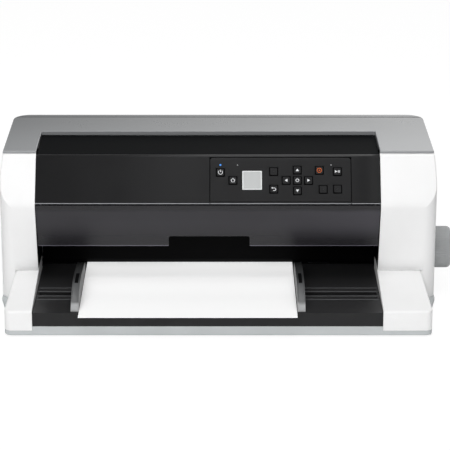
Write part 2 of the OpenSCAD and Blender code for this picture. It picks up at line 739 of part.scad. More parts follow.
module frame_plate_right() {
  out_x = frame_xr + plate_t;
  at_case() color("lightsteelblue") {
    difference() {
      union() {
        frame_plate(frame_xr, -1, 1);
        rod_x(out_x, out_x + 3, [knob_y, knob_z], 7);
        block(pulley_x[1] - 22, frame_xr, pulley_y - 22, pulley_y + 22, bracket_z, bracket_z + 2);
      }
      rod_x(frame_xr - 1, out_x + 4, [knob_y, knob_z], shaft_r + fit);
      rod_z(bracket_z - 1, bracket_z + 3, [pulley_x[1], pulley_y], 8);
    }
    rod_x(frame_xr, train_x[0] + train_x[1] + 2, [idler_y, idler_z], shaft_r);
    for (p = motor_studs()) rod_x(out_x, motor_face_x, p, 3);
  }
}

// Three of the motor's four corners; the idler gear turns where the fourth would be
function motor_studs() =
  let (h = motor_hole / 2) [for (c = [[1, 1], [-1, 1], [1, -1]]) [motor_y + c[0] * h, motor_z + c[1] * h]];

module base_plate() {
  at_case() color("lightsteelblue") difference() {
    block(frame_xl - 2, frame_xr + plate_t + 2, frame_y[0], body_d - 8, floor_z, base_top_z);
    for (i = [0:9]) block(-120 + i * 24, -112 + i * 24, 250, 300, 0, base_top_z + 1);
  }
}

module guide_shaft() {
  at_case() color("gainsboro")
    rod_x(frame_xl, frame_xr + plate_t, [guide_shaft_y, guide_shaft_z], guide_shaft_r);
}

rail_bar_y = [222, 236];
rail_bar_z = [100, 103];

module head_rail() {
  at_case() color("lightsteelblue")
    along_x(frame_xl + plate_t, frame_xr, [[rail_bar_y[0], rail_bar_z[0] - 14],
      [rail_bar_y[0] + 2, rail_bar_z[0] - 14], [rail_bar_y[0] + 2, rail_bar_z[0]],
      [rail_bar_y[1], rail_bar_z[0]], [rail_bar_y[1], rail_bar_z[1]], [rail_bar_y[0], rail_bar_z[1]]]);
}

platen_x = [-232, 202];
platen_w = 12;
guide_under_z = tray_z - tray_t;

module platen() {
  y = [print_y - platen_w / 2, print_y + platen_w / 2];
  at_case() color("dimgray") {
    block(frame_xl + plate_t, frame_xr, y[0], y[1], 20, guide_under_z - 0.8);
    block(platen_x[0], platen_x[1], y[0], y[1], guide_under_z - 0.8, tray_z);
  }
}

// Flat floor of the sheet path, from the tray to the rear slot
module lower_paper_guide() {
  x0 = frame_xl + plate_t + seam;
  x1 = frame_xr - seam;
  at_case() color([0.1, 0.1, 0.1]) difference() {
    union() {
      block(x0, x1, tray_end_y + seam, body_d - wall - 1, guide_under_z, tray_z);
      for (x = [x0, x1 - 12], y = guide_foot_y)
        block(x, x + 12, y[0], y[1], guide_under_z - 1.3, guide_under_z);
    }
    block(platen_x[0] - gap, platen_x[1] + gap, print_y - platen_w / 2 - gap, print_y + platen_w / 2 + gap,
      0, tray_z + 1);
    for (x = tyre_x, y = [roller_y, rear_roller_y])
      block(x - 1, x + tyre_w + 1, y - tyre_r - 0.6, y + tyre_r + 0.6, 0, tray_z + 1);
  }
}

// Black wall over the sheet, with a lip that leads it in
module upper_paper_guide() {
  y = tray_end_y - 3;
  z = guide_lip_z;
  at_case() color([0.08, 0.08, 0.08]) difference() {
    along_x(open_l + gap, open_r - gap, [[y, z + 5], [y + 3, z], [y + 5.5, z], [y + 5.5, z + 2], [y + 3.4, z + 2],
      [y + 2.4, z + 5], [y + 2.4, frame_top_z - 40], [y, frame_top_z - 40]]);
    for (side = [0, 1]) block(side == 0 ? open_l - 1 : open_r - gap - cheek_taper,
      side == 0 ? open_l + gap + cheek_taper : open_r + 1, 0, body_d, 0, brow_z);
  }
}

// ---------------------------------------------------------------- feed train

module knob() {
  x0 = side_w + 0.8;
  x1 = half_w + knob_out;
  at_case() color("darkgray") translate([0, knob_y, knob_z]) rotate([90, 0, 90]) rotate_extrude()
    polygon([[shaft_r + 0.02, x0 - 9], [9, x0 - 9], [9, x0], [knob_r - 1, x0], [knob_r, x0 + 1.5],
      [knob_r, x1 - 3], [knob_r - 2.5, x1], [0, x1], [0, x1 - 4], [shaft_r + 0.02, x1 - 4]]);
}

module knob_gear() {
  at_case() color("gainsboro") {
    rod_x(frame_xr, half_w + knob_out - 4.4, [knob_y, knob_z], shaft_r);
    gear_x(knob_gear_x[0], knob_gear_x[1], [knob_y, knob_z], knob_teeth, knob_turn);
  }
}

// Steel shaft with its gear, and four rubber tyres as separate solids
module feed_roller(y, gear_from, turn) {
  color("gainsboro") {
    rod_x(frame_xl - 3.4, train_x[0] + train_x[1] + 1, [y, feed_z], shaft_r);
    gear_x(gear_from, train_x[0] + train_x[1] - gear_from, [y, feed_z], roller_teeth, turn);
  }
  color([0.15, 0.15, 0.15]) for (x = tyre_x) difference() {
    rod_x(x, x + tyre_w, [y, feed_z], tyre_r);
    rod_x(x - 1, x + tyre_w + 1, [y, feed_z], shaft_r + 0.02);
  }
}

module front_roller() { at_case() feed_roller(roller_y, knob_gear_x[0], roller_turn); }

module rear_roller() { at_case() feed_roller(rear_roller_y, train_x[0], rear_turn); }

module pinch_roller(y) {
  at_case() color("gainsboro") {
    rod_x(frame_xl - 1, frame_xr + plate_t + 1, [y, pinch_z], 2);
    for (x = tyre_x) rod_x(x + 4, x + tyre_w - 4, [y, pinch_z], pinch_r);
  }
}

module front_pinch_roller() { pinch_roller(roller_y); }

module rear_pinch_roller() { pinch_roller(rear_roller_y); }

module idler_gear() {
  at_case() color("ivory") difference() {
    gear_x(train_x[0], train_x[1], [idler_y, idler_z], idler_teeth, idler_turn);
    rod_x(train_x[0] - 1, train_x[0] + train_x[1] + 1, [idler_y, idler_z], shaft_r + fit);
    for (a = [0:60:300])
      rod_x(train_x[0] - 1, train_x[0] + train_x[1] + 1, [idler_y + 16 * cos(a), idler_z + 16 * sin(a)], 5);
  }
}

module feed_motor() {
  w = motor_w / 2;
  at_case() color([0.3, 0.3, 0.32]) difference() {
    union() {
      block(motor_face_x, motor_face_x + 8, motor_y - w, motor_y + w, motor_z - w, motor_z + w);
      rod_x(motor_face_x + 8, motor_face_x + motor_l, [motor_y, motor_z], w - 0.5);
    }
    rod_x(motor_face_x - 1, motor_face_x + 12, [motor_y, motor_z], 2.5 + fit);
  }
}

module feed_pinion() {
  at_case() color("goldenrod") {
    rod_x(train_x[0] - 1, motor_face_x + 11, [motor_y, motor_z], 2.5);
    gear_x(train_x[0], train_x[1], [motor_y, motor_z], pinion_teeth, pinion_turn);
  }
}

// ---------------------------------------------------------------- carriage and ribbon

module carriage() {
  x0 = carriage_x;
  x1 = carriage_x + carriage_w;
  bed_z = [88, 92];
  mid = (x0 + x1) / 2;
  run_y = pulley_y - pulley_r - gap - 1;
  at_case() color([0.2, 0.2, 0.22]) difference() {
    union() {
      block(x0, x1, guide_shaft_y - 12, guide_shaft_y + 12, guide_shaft_z - 13, bed_z[1]);
      block(x0, x1, rail_bar_y[1] + 0.8, guide_shaft_y + 12, bed_z[0], bed_z[1]);
      // fork on the front rail
      block(x0, x1, rail_bar_y[1] + 0.8, rail_bar_y[1] + 5, bed_z[0], rail_bar_z[1] + 4.3);
      for (z = [rail_bar_z[0] - 4.3, rail_bar_z[1] + gap])
        block(x0, x1, rail_bar_y[1] - 8, rail_bar_y[1] + 1, z, z + 4);
      // belt clamp
      block(mid - 8, mid + 8, guide_shaft_y + 10, run_y + 4.3, bed_z[0], belt_z + belt_w + 4);
    }
    rod_x(x0 - 1, x1 + 1, [guide_shaft_y, guide_shaft_z], guide_shaft_r + fit);
    block(mid - 13, mid + 13, print_y - 11, print_y + 11, 0, bed_z[1] + 1);
    block(mid - 9, mid + 9, run_y - 0.35, run_y + 1.35, belt_z - gap - 0.1, belt_z + belt_w + 5);
  }
}

module print_head() {
  mid = carriage_x + carriage_w / 2;
  bed_z = 92;
  at_case() color([0.35, 0.35, 0.37]) {
    along_y(print_y - 5, print_y + 5, [[mid - 3, head_z], [mid + 3, head_z], [mid + 5, head_z + 8],
      [mid + 11, head_z + 26], [mid + 11, bed_z + 1], [mid - 11, bed_z + 1], [mid - 11, head_z + 26],
      [mid - 5, head_z + 8]]);
    block(mid - 17, mid + 17, print_y - 14, print_y + 16, bed_z, bed_z + 14);
    for (i = [0:6]) block(mid - 17 + i * 5.3, mid - 15 + i * 5.3, print_y - 12, print_y + 14, bed_z + 14, bed_z + 34);
  }
}

module timing_belt() {
  r = pulley_r + gap;
  module loop(grow) {
    translate([pulley_x[0], pulley_y - r - grow]) square([pulley_x[1] - pulley_x[0], 2 * (r + grow)]);
    for (x = pulley_x) translate([x, pulley_y]) circle(r + grow);
  }
  at_case() color([0.1, 0.1, 0.1]) translate([0, 0, belt_z]) linear_extrude(belt_w) difference() {
    loop(1);
    loop(0);
  }
}

// Belt pulley with two rims that keep the belt on
module pulley_body(at) {
  rod_z(belt_z - 1, belt_z + belt_w + 1, at, pulley_r);
  rod_z(belt_z - 1.6, belt_z - 0.4, at, pulley_r + 1.6);
  rod_z(belt_z + belt_w + 0.4, belt_z + belt_w + 1.6, at, pulley_r + 1.6);
}

module drive_pulley() {
  at = [pulley_x[1], pulley_y];
  at_case() color("silver") {
    pulley_body(at);
    rod_z(bracket_z - 10, belt_z, at, 2.5);
  }
}

module tension_pulley() {
  at = [pulley_x[0], pulley_y];
  at_case() color("silver") difference() {
    pulley_body(at);
    rod_z(belt_z - 5, belt_z + belt_w + 5, at, 2 + fit);
  }
}

module carriage_motor() {
  at = [pulley_x[1], pulley_y];
  at_case() color([0.3, 0.3, 0.32]) difference() {
    union() {
      rod_z(bracket_z - 34, bracket_z, at, 20.5);
      rod_z(bracket_z, bracket_z + 3, at, 7.5);
    }
    rod_z(bracket_z - 12, bracket_z + 4, at, 2.5 + fit);
  }
}

module ribbon_cartridge() {
  y = [print_y - 22, print_y + 42];
  x = cartridge_x;
  at_case() color([0.12, 0.12, 0.12]) {
    difference() {
      union() {
        block(frame_xl + plate_t + seam, frame_xr - seam, y[0], y[0] + 14, cartridge_z, cartridge_z + cartridge_t);
        block(x[0], x[1], y[0], y[1], cartridge_z, cartridge_z + cartridge_t);
      }
      rod_z(cartridge_z + cartridge_t - 9, cartridge_z + cartridge_t + 1, ribbon_knob_at(), 3 + fit);
    }
    for (leg = [x[0], x[1] - leg_w])
      block(leg, leg + leg_w, print_y - 8, print_y + 8, ribbon_z - 0.1, cartridge_z);
    block(x[0] + 2, x[1] - 2, print_y - 6.5, print_y + 6.5, ribbon_z, ribbon_z + 0.3);
  }
}

function ribbon_knob_at() = [cartridge_x[0] + 60, print_y + 18];

module ribbon_knob() {
  top = cartridge_z + cartridge_t;
  at_case() color("royalblue") {
    rod_z(top - 8, top + gap, ribbon_knob_at(), 3);
    rod_z(top + gap, top + 8, ribbon_knob_at(), 11);
    translate([0, 0, top + 8]) intersection() {
      rod_z(0, 5, ribbon_knob_at(), 10);
      block(ribbon_knob_at()[0] - 2, ribbon_knob_at()[0] + 2, 0, body_d, 0, 5);
    }
  }
}

// ---------------------------------------------------------------- electronics

board_x = [open_l + 67.1, open_r - 32.8];
board_y = body_d - 80;
supply_y = [tray_end_y + 10, body_d - 30];
supply_slots = floor((supply_y[1] - supply_y[0] - 48) / 12);

module main_board() {
  z = base_top_z + 2.5;
  at_case() color("darkgreen") {
    block(board_x[0], board_x[1], board_y, board_y + 70, z, z + 1.6);
    for (x = [board_x[0] + 6, ports_x[0] + 14, board_x[1] - 6], y = [board_y + 6, board_y + 64])
      rod_z(base_top_z, z, [x, y], 3);
    for (x = [board_x[0] + 30, board_x[0] + 80, board_x[0] + 130, board_x[1] - 85, board_x[1] - 45])
      block(x, x + 24, board_y + 13, board_y + 37, z + 1.6, z + 5);
    for (x = [board_x[0] + 20, board_x[0] + 50, board_x[1] - 25])
      rod_z(z + 1.6, z + 12, [x, board_y + 54], 5);
    block(ports_x[0] + 4, ports_x[0] + 62, board_y + 62, body_d - 0.5, z + 1.6, z + 14);
    block(ports_x[1] - 16, ports_x[1] - 4, board_y + 62, body_d - 0.5, z + 1.6, z + 12.6);
  }
}

module power_supply() {
  at_case() color("silver") difference() {
    block(-half_w + 6, frame_xl - 5, supply_y[0], supply_y[1], floor_z, 104);
    for (i = [0:supply_slots])
      block(frame_xl - 7, frame_xl - 4, supply_y[0] + 16 + i * 12, supply_y[0] + 22 + i * 12, 30, 90);
  }
}

module power_inlet() {
  at_case() color([0.1, 0.1, 0.1]) difference() {
    block(inlet_x[0], inlet_x[1], supply_y[1], body_d - 0.6, inlet_z[0], inlet_z[1]);
    block(inlet_x[0] + 2, inlet_x[1] - 2, body_d - 17, body_d + 1, inlet_z[0] + 2, inlet_z[1] - 2);
  }
}

module key_power() { key_cap("key_power"); }
module key_home() { key_cap("key_home"); }
module key_source() { key_cap("key_source"); }
module key_back() { key_cap("key_back"); }
module key_up() { key_cap("key_up"); }
module key_ok() { key_cap("key_ok"); }
module key_left() { key_cap("key_left"); }
module key_right() { key_cap("key_right"); }
module key_down() { key_cap("key_down"); }
module key_cancel() { key_cap("key_cancel"); }
module key_pause() { key_cap("key_pause"); }
module key_eject() { key_cap("key_eject"); }
module key_menu() { key_cap("key_menu"); }

lower_case();
side_panel_left();
side_panel_right();
top_frame();
rear_panel();
front_panel();
control_panel();
display();
control_board();
tray();
arm_left();
arm_right();
rubber_feet();
case_screws();
top_lid();
front_cover();
edge_guide_left();
edge_guide_right();
sheet();
frame_plate_left();
frame_plate_right();
base_plate();
guide_shaft();
head_rail();
platen();
lower_paper_guide();
upper_paper_guide();
knob();
knob_gear();
front_roller();
rear_roller();
front_pinch_roller();
rear_pinch_roller();
idler_gear();
feed_motor();
feed_pinion();
carriage();
print_head();
carriage_motor();
drive_pulley();
tension_pulley();
timing_belt();
ribbon_cartridge();
ribbon_knob();
main_board();
power_supply();
power_inlet();
key_power();
key_home();
key_source();
key_back();
key_up();
key_ok();
key_left();
key_right();
key_down();
key_cancel();
key_pause();
key_eject();
key_menu();
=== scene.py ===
"""Dressed model of a wide flatbed dot matrix printer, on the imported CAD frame.

Shapes are worked out in millimetres in the case's own coordinates: x from the middle of the case, y from
the front face of the tray, z from the table. They are turned into the frame's metres when a piece is made.
"""

import json
import logging
import math
from collections.abc import Callable, Iterable, Sequence
from dataclasses import dataclass, field
from enum import Enum

import bmesh
import bpy
import numpy as np
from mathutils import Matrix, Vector

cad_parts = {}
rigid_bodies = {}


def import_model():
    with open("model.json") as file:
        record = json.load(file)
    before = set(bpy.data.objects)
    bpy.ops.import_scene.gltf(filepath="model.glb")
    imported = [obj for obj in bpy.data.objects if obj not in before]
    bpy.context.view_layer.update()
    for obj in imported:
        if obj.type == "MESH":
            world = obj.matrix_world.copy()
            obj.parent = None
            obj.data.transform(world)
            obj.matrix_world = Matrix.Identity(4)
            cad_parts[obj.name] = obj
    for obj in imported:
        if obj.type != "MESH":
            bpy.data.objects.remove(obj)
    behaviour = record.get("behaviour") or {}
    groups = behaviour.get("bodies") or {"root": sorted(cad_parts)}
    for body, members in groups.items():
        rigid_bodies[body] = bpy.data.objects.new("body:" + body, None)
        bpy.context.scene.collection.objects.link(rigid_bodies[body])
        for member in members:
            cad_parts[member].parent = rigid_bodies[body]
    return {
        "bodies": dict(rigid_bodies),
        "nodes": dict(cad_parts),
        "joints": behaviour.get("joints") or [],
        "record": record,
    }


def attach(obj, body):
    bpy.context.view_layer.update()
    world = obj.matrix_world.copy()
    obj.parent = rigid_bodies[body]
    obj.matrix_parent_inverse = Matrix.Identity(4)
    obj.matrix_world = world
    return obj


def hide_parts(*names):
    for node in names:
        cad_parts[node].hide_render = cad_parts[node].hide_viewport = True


LOG = logging.getLogger("printer")
Triple = tuple[float, float, float]
Colour = tuple[float, float, float, float]
Number = "Socket | float"

CASE_ORIGIN = np.array([-13.9, -191.0, 0.0])
MM = 1000.0  # millimetres in a metre
MERGE_DISTANCE = 2e-6  # metres within which two points are one
FLAT_ANGLE = 0.4  # degrees under which two faces count as one
SHARP_ANGLE = 28  # degrees from which a CAD edge is rounded

CREASE = (132.0, 152.4)  # distance and height at which the slanted panel begins
SLOPE = 1.51208  # rise over run of the slanted panel
BROW_Z = 143.0  # height at which the upright front ends
TRAY_Z = 35.8  # height of the tray's surface


# ------------------------------------------------------------------ shader maths


def linear(colour: Triple) -> Colour:
    """Turns a display colour into a linear one.

    Args:
        colour: red, green and blue from 0 to 255.

    Returns:
        The linear colour with an alpha of 1.
    """
    c = np.asarray(colour, float) / 255.0
    flat = np.where(c <= 0.04045, c / 12.92, ((c + 0.055) / 1.055) ** 2.4)
    return (float(flat[0]), float(flat[1]), float(flat[2]), 1.0)


def scaled(colour: Colour, share: float, lift: float = 0.0) -> Colour:
    """A linear colour times a share, plus a lift, at most 1."""
    return tuple(min(1.0, c * share + lift) for c in colour[:3]) + (1.0,)


class Socket:
    """An output socket that can be used in Python arithmetic."""

    def __init__(self, shader: "Shader", socket: bpy.types.NodeSocket) -> None:
        """Wraps a node's output socket."""
        self.shader = shader
        self.socket = socket

    def _maths(self, operation: str, first: Number, second: Number = 0.0) -> "Socket":
        """Adds the Math node of one operation on two values."""
        return self.shader.node("ShaderNodeMath", {"operation": operation}, {0: first, 1: second})

    def __add__(self, other: Number) -> "Socket":
        """This value plus another."""
        return self._maths("ADD", self, other)

    def __sub__(self, other: Number) -> "Socket":
        """This value less another."""
        return self._maths("SUBTRACT", self, other)

    def __rsub__(self, other: Number) -> "Socket":
        """Another value less this one."""
        return self._maths("SUBTRACT", other, self)

    def __mul__(self, other: Number) -> "Socket":
        """This value times another."""
        return self._maths("MULTIPLY", self, other)

    def __gt__(self, other: Number) -> "Socket":
        """1 where this value is above another, else 0."""
        return self._maths("GREATER_THAN", self, other)

    def __lt__(self, other: Number) -> "Socket":
        """1 where this value is below another, else 0."""
        return self._maths("LESS_THAN", self, other)

    __radd__ = __add__
    __rmul__ = __mul__

    def clamped(self) -> "Socket":
        """This value, held between 0 and 1 by the Math node that makes it."""
        self.socket.node.use_clamp = True
        return self

    def between(self, low: float, high: float) -> "Socket":
        """Grows smoothly from 0 at low to 1 at high."""
        return self.shader.node(
            "ShaderNodeMapRange",
            {"interpolation_type": "SMOOTHSTEP"},
            {"Value": self, "From Min": low, "From Max": high},
        )


class Shader:
    """The nodes of a material or of the world, under construction."""

    def __init__(self, owner: bpy.types.Material | bpy.types.World) -> None:
        """Empties the owner's nodes."""
        owner.use_nodes = True
        self.tree = owner.node_tree
        self.tree.nodes.clear()

    def node(
        self,
        kind: str,
        settings: dict | None = None,
        inputs: dict | None = None,
        output: str | int = 0,
    ) -> Socket:
        """Makes a node, sets its settings and then its sockets.

        Args:
            kind: the node's type.
            settings: its properties.
            inputs: values or links by the socket's name or number.
            output: the name or number of the output that is handed back.

        Returns:
            The chosen output.
        """
        made = self.tree.nodes.new(kind)
        for key, value in (settings or {}).items():
            setattr(made, key, value)
        for key, value in (inputs or {}).items():
            if isinstance(value, Socket):
                self.tree.links.new(value.socket, made.inputs[key])
            else:
                made.inputs[key].default_value = value
        return Socket(self, made.outputs[output] if made.outputs else None)

    def place(self, stretch: Triple = (1.0, 1.0, 1.0)) -> Socket:
        """Object coordinates in millimetres, stretched along each axis."""
        coordinates = self.node("ShaderNodeTexCoord", output="Object")
        scale = tuple(MM / s for s in stretch)
        return self.node("ShaderNodeVectorMath", {"operation": "MULTIPLY"}, {0: coordinates, 1: scale})

    def axis(self, name: str) -> Socket:
        """One object coordinate in millimetres, X, Y or Z."""
        return self.node("ShaderNodeSeparateXYZ", None, {0: self.place()}, name)

    def noise(self, size: float, detail: float = 2.0, stretch: Triple = (1.0, 1.0, 1.0)) -> Socket:
        """Noise from 0 to 1 with features of about the given size in millimetres."""
        return self.node(
            "ShaderNodeTexNoise", None, {"Vector": self.place(stretch), "Scale": 1.0 / size, "Detail": detail}
        )

    def mix(self, share: Number, first: "Socket | Colour", second: "Socket | Colour") -> Socket:
        """Mixes two colours; share 0 gives the first."""
        return self.node("ShaderNodeMix", {"data_type": "RGBA"}, {0: share, 6: first, 7: second}, 2)

    def bump(self, height: Socket, depth: float) -> Socket:
        """Turns a height from 0 to 1 into a normal, for a relief of depth millimetres."""
        inputs = {"Height": height, "Distance": depth / MM, "Strength": 1.0}
        return self.node("ShaderNodeBump", None, inputs)

    def folded(self, value: Socket, width: float) -> Socket:
        """A value folded back and forth between 0 and a width."""
        return self.node("ShaderNodeMath", {"operation": "PINGPONG"}, {0: value, 1: width})

    def surface(self, **inputs: "Socket | float | tuple") -> None:
        """Joins a Principled shader to the output; words stand for sockets, with _ for a space."""
        named = {key.replace("_", " "): value for key, value in inputs.items()}
        bsdf = self.node("ShaderNodeBsdfPrincipled", None, named)
        self.node("ShaderNodeOutputMaterial", None, {"Surface": bsdf})


# ------------------------------------------------------------------ finishes


@dataclass(frozen=True)
class Finish:
    """A finish, made into one material the first time that it is used."""

    name: str

    def build(self, shader: Shader) -> None:
        """Adds the finish's nodes."""
        raise NotImplementedError

    def material(self) -> bpy.types.Material:
        """The Blender material of this finish."""
        name = f"look_{self.name}"
        found = bpy.data.materials.get(name)
        if found is None:
            found = bpy.data.materials.new(name)
            self.build(Shader(found))
        return found


@dataclass(frozen=True)
class Moulding(Finish):
    """Injection-moulded plastic with a spark-eroded grain, a slow drift of tone, and, where fade is set,
    painted shade towards the rear.
    """

    colour: Triple = (128, 128, 128)
    roughness: float = 0.5
    specular: float = 0.4
    grain: float = 0.02
    grain_size: float = 0.7
    drift: float = 0.03
    coat: float = 0.0
    fade: float = 0.0
    painted_shade_y: tuple[float, float] = (-40.0, 190.0)

    def build(self, shader: Shader) -> None:
        """Grain from two noises, tone from a slow one; fade is the share of painted shade that darkens the
        rear.
        """
        base = linear(self.colour)
        darker = scaled(base, 1 - self.drift)
        lighter = scaled(base, 1 + self.drift)
        slow = shader.noise(60.0, 3.0)
        fine = shader.noise(self.grain_size, 1.0)
        pits = shader.noise(self.grain_size * 2.7, 2.0)
        tone = shader.mix(slow.between(0.3, 0.7), darker, lighter)
        # painted shade: the colour darkens towards the rear by the share fade
        if self.fade:
            tone = shader.mix(shader.axis("Y").between(*self.painted_shade_y), tone, scaled(base, 1 - self.fade))
        speck = shader.mix(fine * 0.5, tone, darker)
        relief = fine * 0.6 + pits * 0.4
        shader.surface(
            Base_Color=speck,
            Roughness=(slow - 0.5) * 0.1 + (pits - 0.5) * 0.08 + self.roughness,
            Specular_IOR_Level=self.specular,
            Coat_Weight=self.coat,
            Coat_Roughness=0.12,
            Normal=shader.bump(relief, self.grain),
        )


@dataclass(frozen=True)
class GuideMoulding(Finish):
    """Grey guide plastic with a painted reflection: its sloping nose is painted pale, and its back turns
    darker towards the rear.
    """

    colour: Triple = (92, 93, 94)
    pale: Triple = (176, 177, 178)
    crest: float = 0.0

    def build(self, shader: Shader) -> None:
        """The pale painted reflection follows the length of the guide, with the grain of the mould under it.
        """
        along = shader.axis("Y")
        drift = (shader.noise(9.0) - 0.5) * 5.0
        # painted reflection: pale in front of the crest, on the sloping nose
        pale = 1.0 - (along + drift).between(self.crest - 4.0, self.crest + 1.5)
        # darker behind the crest, towards the rear
        far = (along + drift).between(self.crest + 26.0, self.crest + 62.0)
        base = linear(self.colour)
        dark = scaled(base, 0.36)
        body = shader.mix(far, base, dark)
        fine = shader.noise(0.6, 1.0)
        shader.surface(
            Base_Color=shader.mix(fine * 0.2, shader.mix(pale, body, linear(self.pale)), dark),
            Roughness=fine * 0.1 + 0.34,
            Specular_IOR_Level=0.45,
            Normal=shader.bump(fine, 0.012),
        )


@dataclass(frozen=True)
class SmokePlastic(Finish):
    """Deep smoke acrylic: polished, faintly clear, with hairline wiping marks, and painted light and shade.
    """

    colour: Triple = (43, 42, 47)
    clear: float = 0.05
    # where the painted shade, painted light and painted highlight lie
    low_z: tuple[float, float] = (92.0, 122.0)
    top_z: tuple[float, float] = (136.0, 143.0)
    rim_z: tuple[float, float] = (87.0, 87.6)
    painted_light_x: tuple[float, float] = (20.0, 215.0)

    def build(self, shader: Shader) -> None:
        """Long thin noise gives the wiping marks. Painted shade darkens the low part and the top band,
        painted light brightens the middle towards the right, and a painted highlight runs along the bottom
        rim.
        """
        wipes = shader.noise(0.8, 3.0, (60.0, 1.0, 1.5))
        slow = shader.noise(90.0, 2.0)
        high = shader.axis("Z") + (slow - 0.5) * 6.0
        base = linear(self.colour)
        # painted shade: the low part and the top band are darker than the middle
        middle = high.between(*self.low_z) * (1.0 - high.between(*self.top_z))
        # painted light: the middle grows lighter towards the right
        right = shader.axis("X").between(*self.painted_light_x) * middle * 0.9
        body = shader.mix(right, shader.mix(middle, scaled(base, 0.55), base), scaled(base, 2.0))
        # painted highlight along the bottom rim
        rim = 1.0 - shader.axis("Z").between(*self.rim_z)
        shader.surface(
            Base_Color=shader.mix(rim, body, scaled(base, 5.0)),
            Roughness=wipes * 0.08 + 0.2,
            Specular_IOR_Level=0.5,
            Transmission_Weight=self.clear,
            IOR=1.49,
            Normal=shader.bump(wipes, 0.002),
        )


@dataclass(frozen=True)
class Paper(Finish):
    """Plain office paper with fibres, a soft tooth and a painted glow."""

    colour: Triple = (250, 250, 250)
    # where the painted glow rises and falls along the sheet
    glow_rise_y: tuple[float, float] = (-140.0, 20.0)
    glow_fall_y: tuple[float, float] = (28.0, 45.0)

    def build(self, shader: Shader) -> None:
        """Two crossed stretched noises make the fibres; a painted glow brightens the sheet, most where it
        runs under the cover's edge into the cover's shadow.
        """
        long_way = shader.noise(1.4, 3.0, (3.0, 1.0, 1.0))
        cross = shader.noise(1.2, 3.0, (1.0, 2.4, 1.0))
        cloud = shader.noise(22.0, 2.0)
        fibres = long_way * 0.5 + cross * 0.5
        base = linear(self.colour)
        along = shader.axis("Y")
        # painted glow: emission strongest under the cover, where shadow falls
        lit = along.between(*self.glow_rise_y) * (1.0 - along.between(*self.glow_fall_y))
        shader.surface(
            Base_Color=shader.mix(fibres * 0.35 + cloud * 0.3, base, scaled(base, 0.965)),
            Roughness=fibres * 0.1 + 0.84,
            Specular_IOR_Level=0.2,
            Emission_Color=shader.mix(lit, scaled(base, 0.22), base),
            Emission_Strength=0.6,
            Normal=shader.bump(fibres, 0.012),
        )


@dataclass(frozen=True)
class Rubber(Finish):
    """Soft black rubber with a dusty bloom."""

    colour: Triple = (34, 34, 35)

    def build(self, shader: Shader) -> None:
        """Bloom from a slow noise, pores from a fine one."""
        bloom = shader.noise(7.0, 3.0)
        pores = shader.noise(0.5, 1.0)
        base = linear(self.colour)
        shader.surface(
            Base_Color=shader.mix(bloom.between(0.45, 0.85), base, scaled(base, 1.9, 0.006)),
            Roughness=bloom * 0.15 + 0.7,
            Specular_IOR_Level=0.3,
            Normal=shader.bump(pores, 0.03),
        )


class Grain(Enum):
    """How the surface of a metal was worked."""

    SPANGLED = "zinc flowers of galvanised sheet"
    TURNED = "fine rings round the X axis"
    BRUSHED = "fine lines along the X axis"
    CAST = "pebbled skin of a casting"


@dataclass(frozen=True)
class Metal(Finish):
    """Bare metal with the marks of how it was worked."""

    colour: Triple = (190, 192, 195)
    grain: Grain = Grain.BRUSHED
    roughness: float = 0.32

    def build(self, shader: Shader) -> None:
        """The grain's pattern drives tone, gloss and relief."""
        base = linear(self.colour)
        shade = scaled(base, 0.72)
        if self.grain is Grain.SPANGLED:
            inputs = {"Vector": shader.place(), "Scale": 0.12}
            cells = shader.node("ShaderNodeTexVoronoi", {"feature": "F1"}, inputs, "Color")
            pattern = shader.node("ShaderNodeSeparateXYZ", None, {0: cells}, "X")
            depth = 0.004
        else:
            size, detail, stretch, depth = {
                Grain.TURNED: (0.25, 2.0, (1.0, 40.0, 40.0), 0.006),
                Grain.BRUSHED: (0.3, 2.0, (60.0, 1.0, 1.0), 0.006),
                Grain.CAST: (1.1, 4.0, (1.0, 1.0, 1.0), 0.05),
            }[self.grain]
            pattern = shader.noise(size, detail, stretch)
        dirt = shader.noise(35.0, 4.0)
        shader.surface(
            Base_Color=shader.mix(pattern * 0.5 + dirt.between(0.45, 0.8) * 0.3, base, shade),
            Metallic=1.0 - dirt.between(0.6, 0.9) * 0.15,
            Roughness=pattern * 0.16 + self.roughness - 0.05,
            Normal=shader.bump(pattern, depth),
        )


@dataclass(frozen=True)
class CircuitBoard(Finish):
    """Green solder mask over faint copper tracks."""

    colour: Triple = (20, 74, 44)

    def build(self, shader: Shader) -> None:
        """Tracks are thin bands at a pitch along x or along y; a coarse noise picks which."""
        lane = shader.folded(shader.axis("X"), 1.27)
        row = shader.folded(shader.axis("Y"), 1.27)
        zone = shader.noise(14.0, 0.0) > 0.5
        tracks = (lane < 0.35) * zone + (row < 0.35) * (1.0 - zone)
        base = linear(self.colour)
        shader.surface(
            Base_Color=shader.mix(tracks, base, scaled(base, 2.1)),
            Roughness=shader.noise(5.0) * 0.1 + 0.3,
            Specular_IOR_Level=0.5,
            Normal=shader.bump(tracks, 0.03),
        )


@dataclass(frozen=True)
class DisplayPane(Finish):
    """Grey liquid crystal behind a clear pane, with a faint grid of dots."""

    colour: Triple = (198, 200, 200)

    def build(self, shader: Shader) -> None:
        """Thin lines between the dots, and a slow drift of grey."""
        columns = shader.folded(shader.axis("X"), 0.25) < 0.03
        rows = shader.folded(shader.axis("Z"), 0.25) < 0.03
        base = linear(self.colour)
        line = scaled(base, 0.86)
        drift = shader.noise(25.0, 1.0)
        toned = shader.mix(drift * 0.25, base, line)
        shader.surface(
            Base_Color=shader.mix((columns + rows) * 0.5, toned, line),
            Roughness=drift * 0.05 + 0.2,
            Specular_IOR_Level=0.4,
            Coat_Weight=0.4,
            Coat_Roughness=0.05,
        )


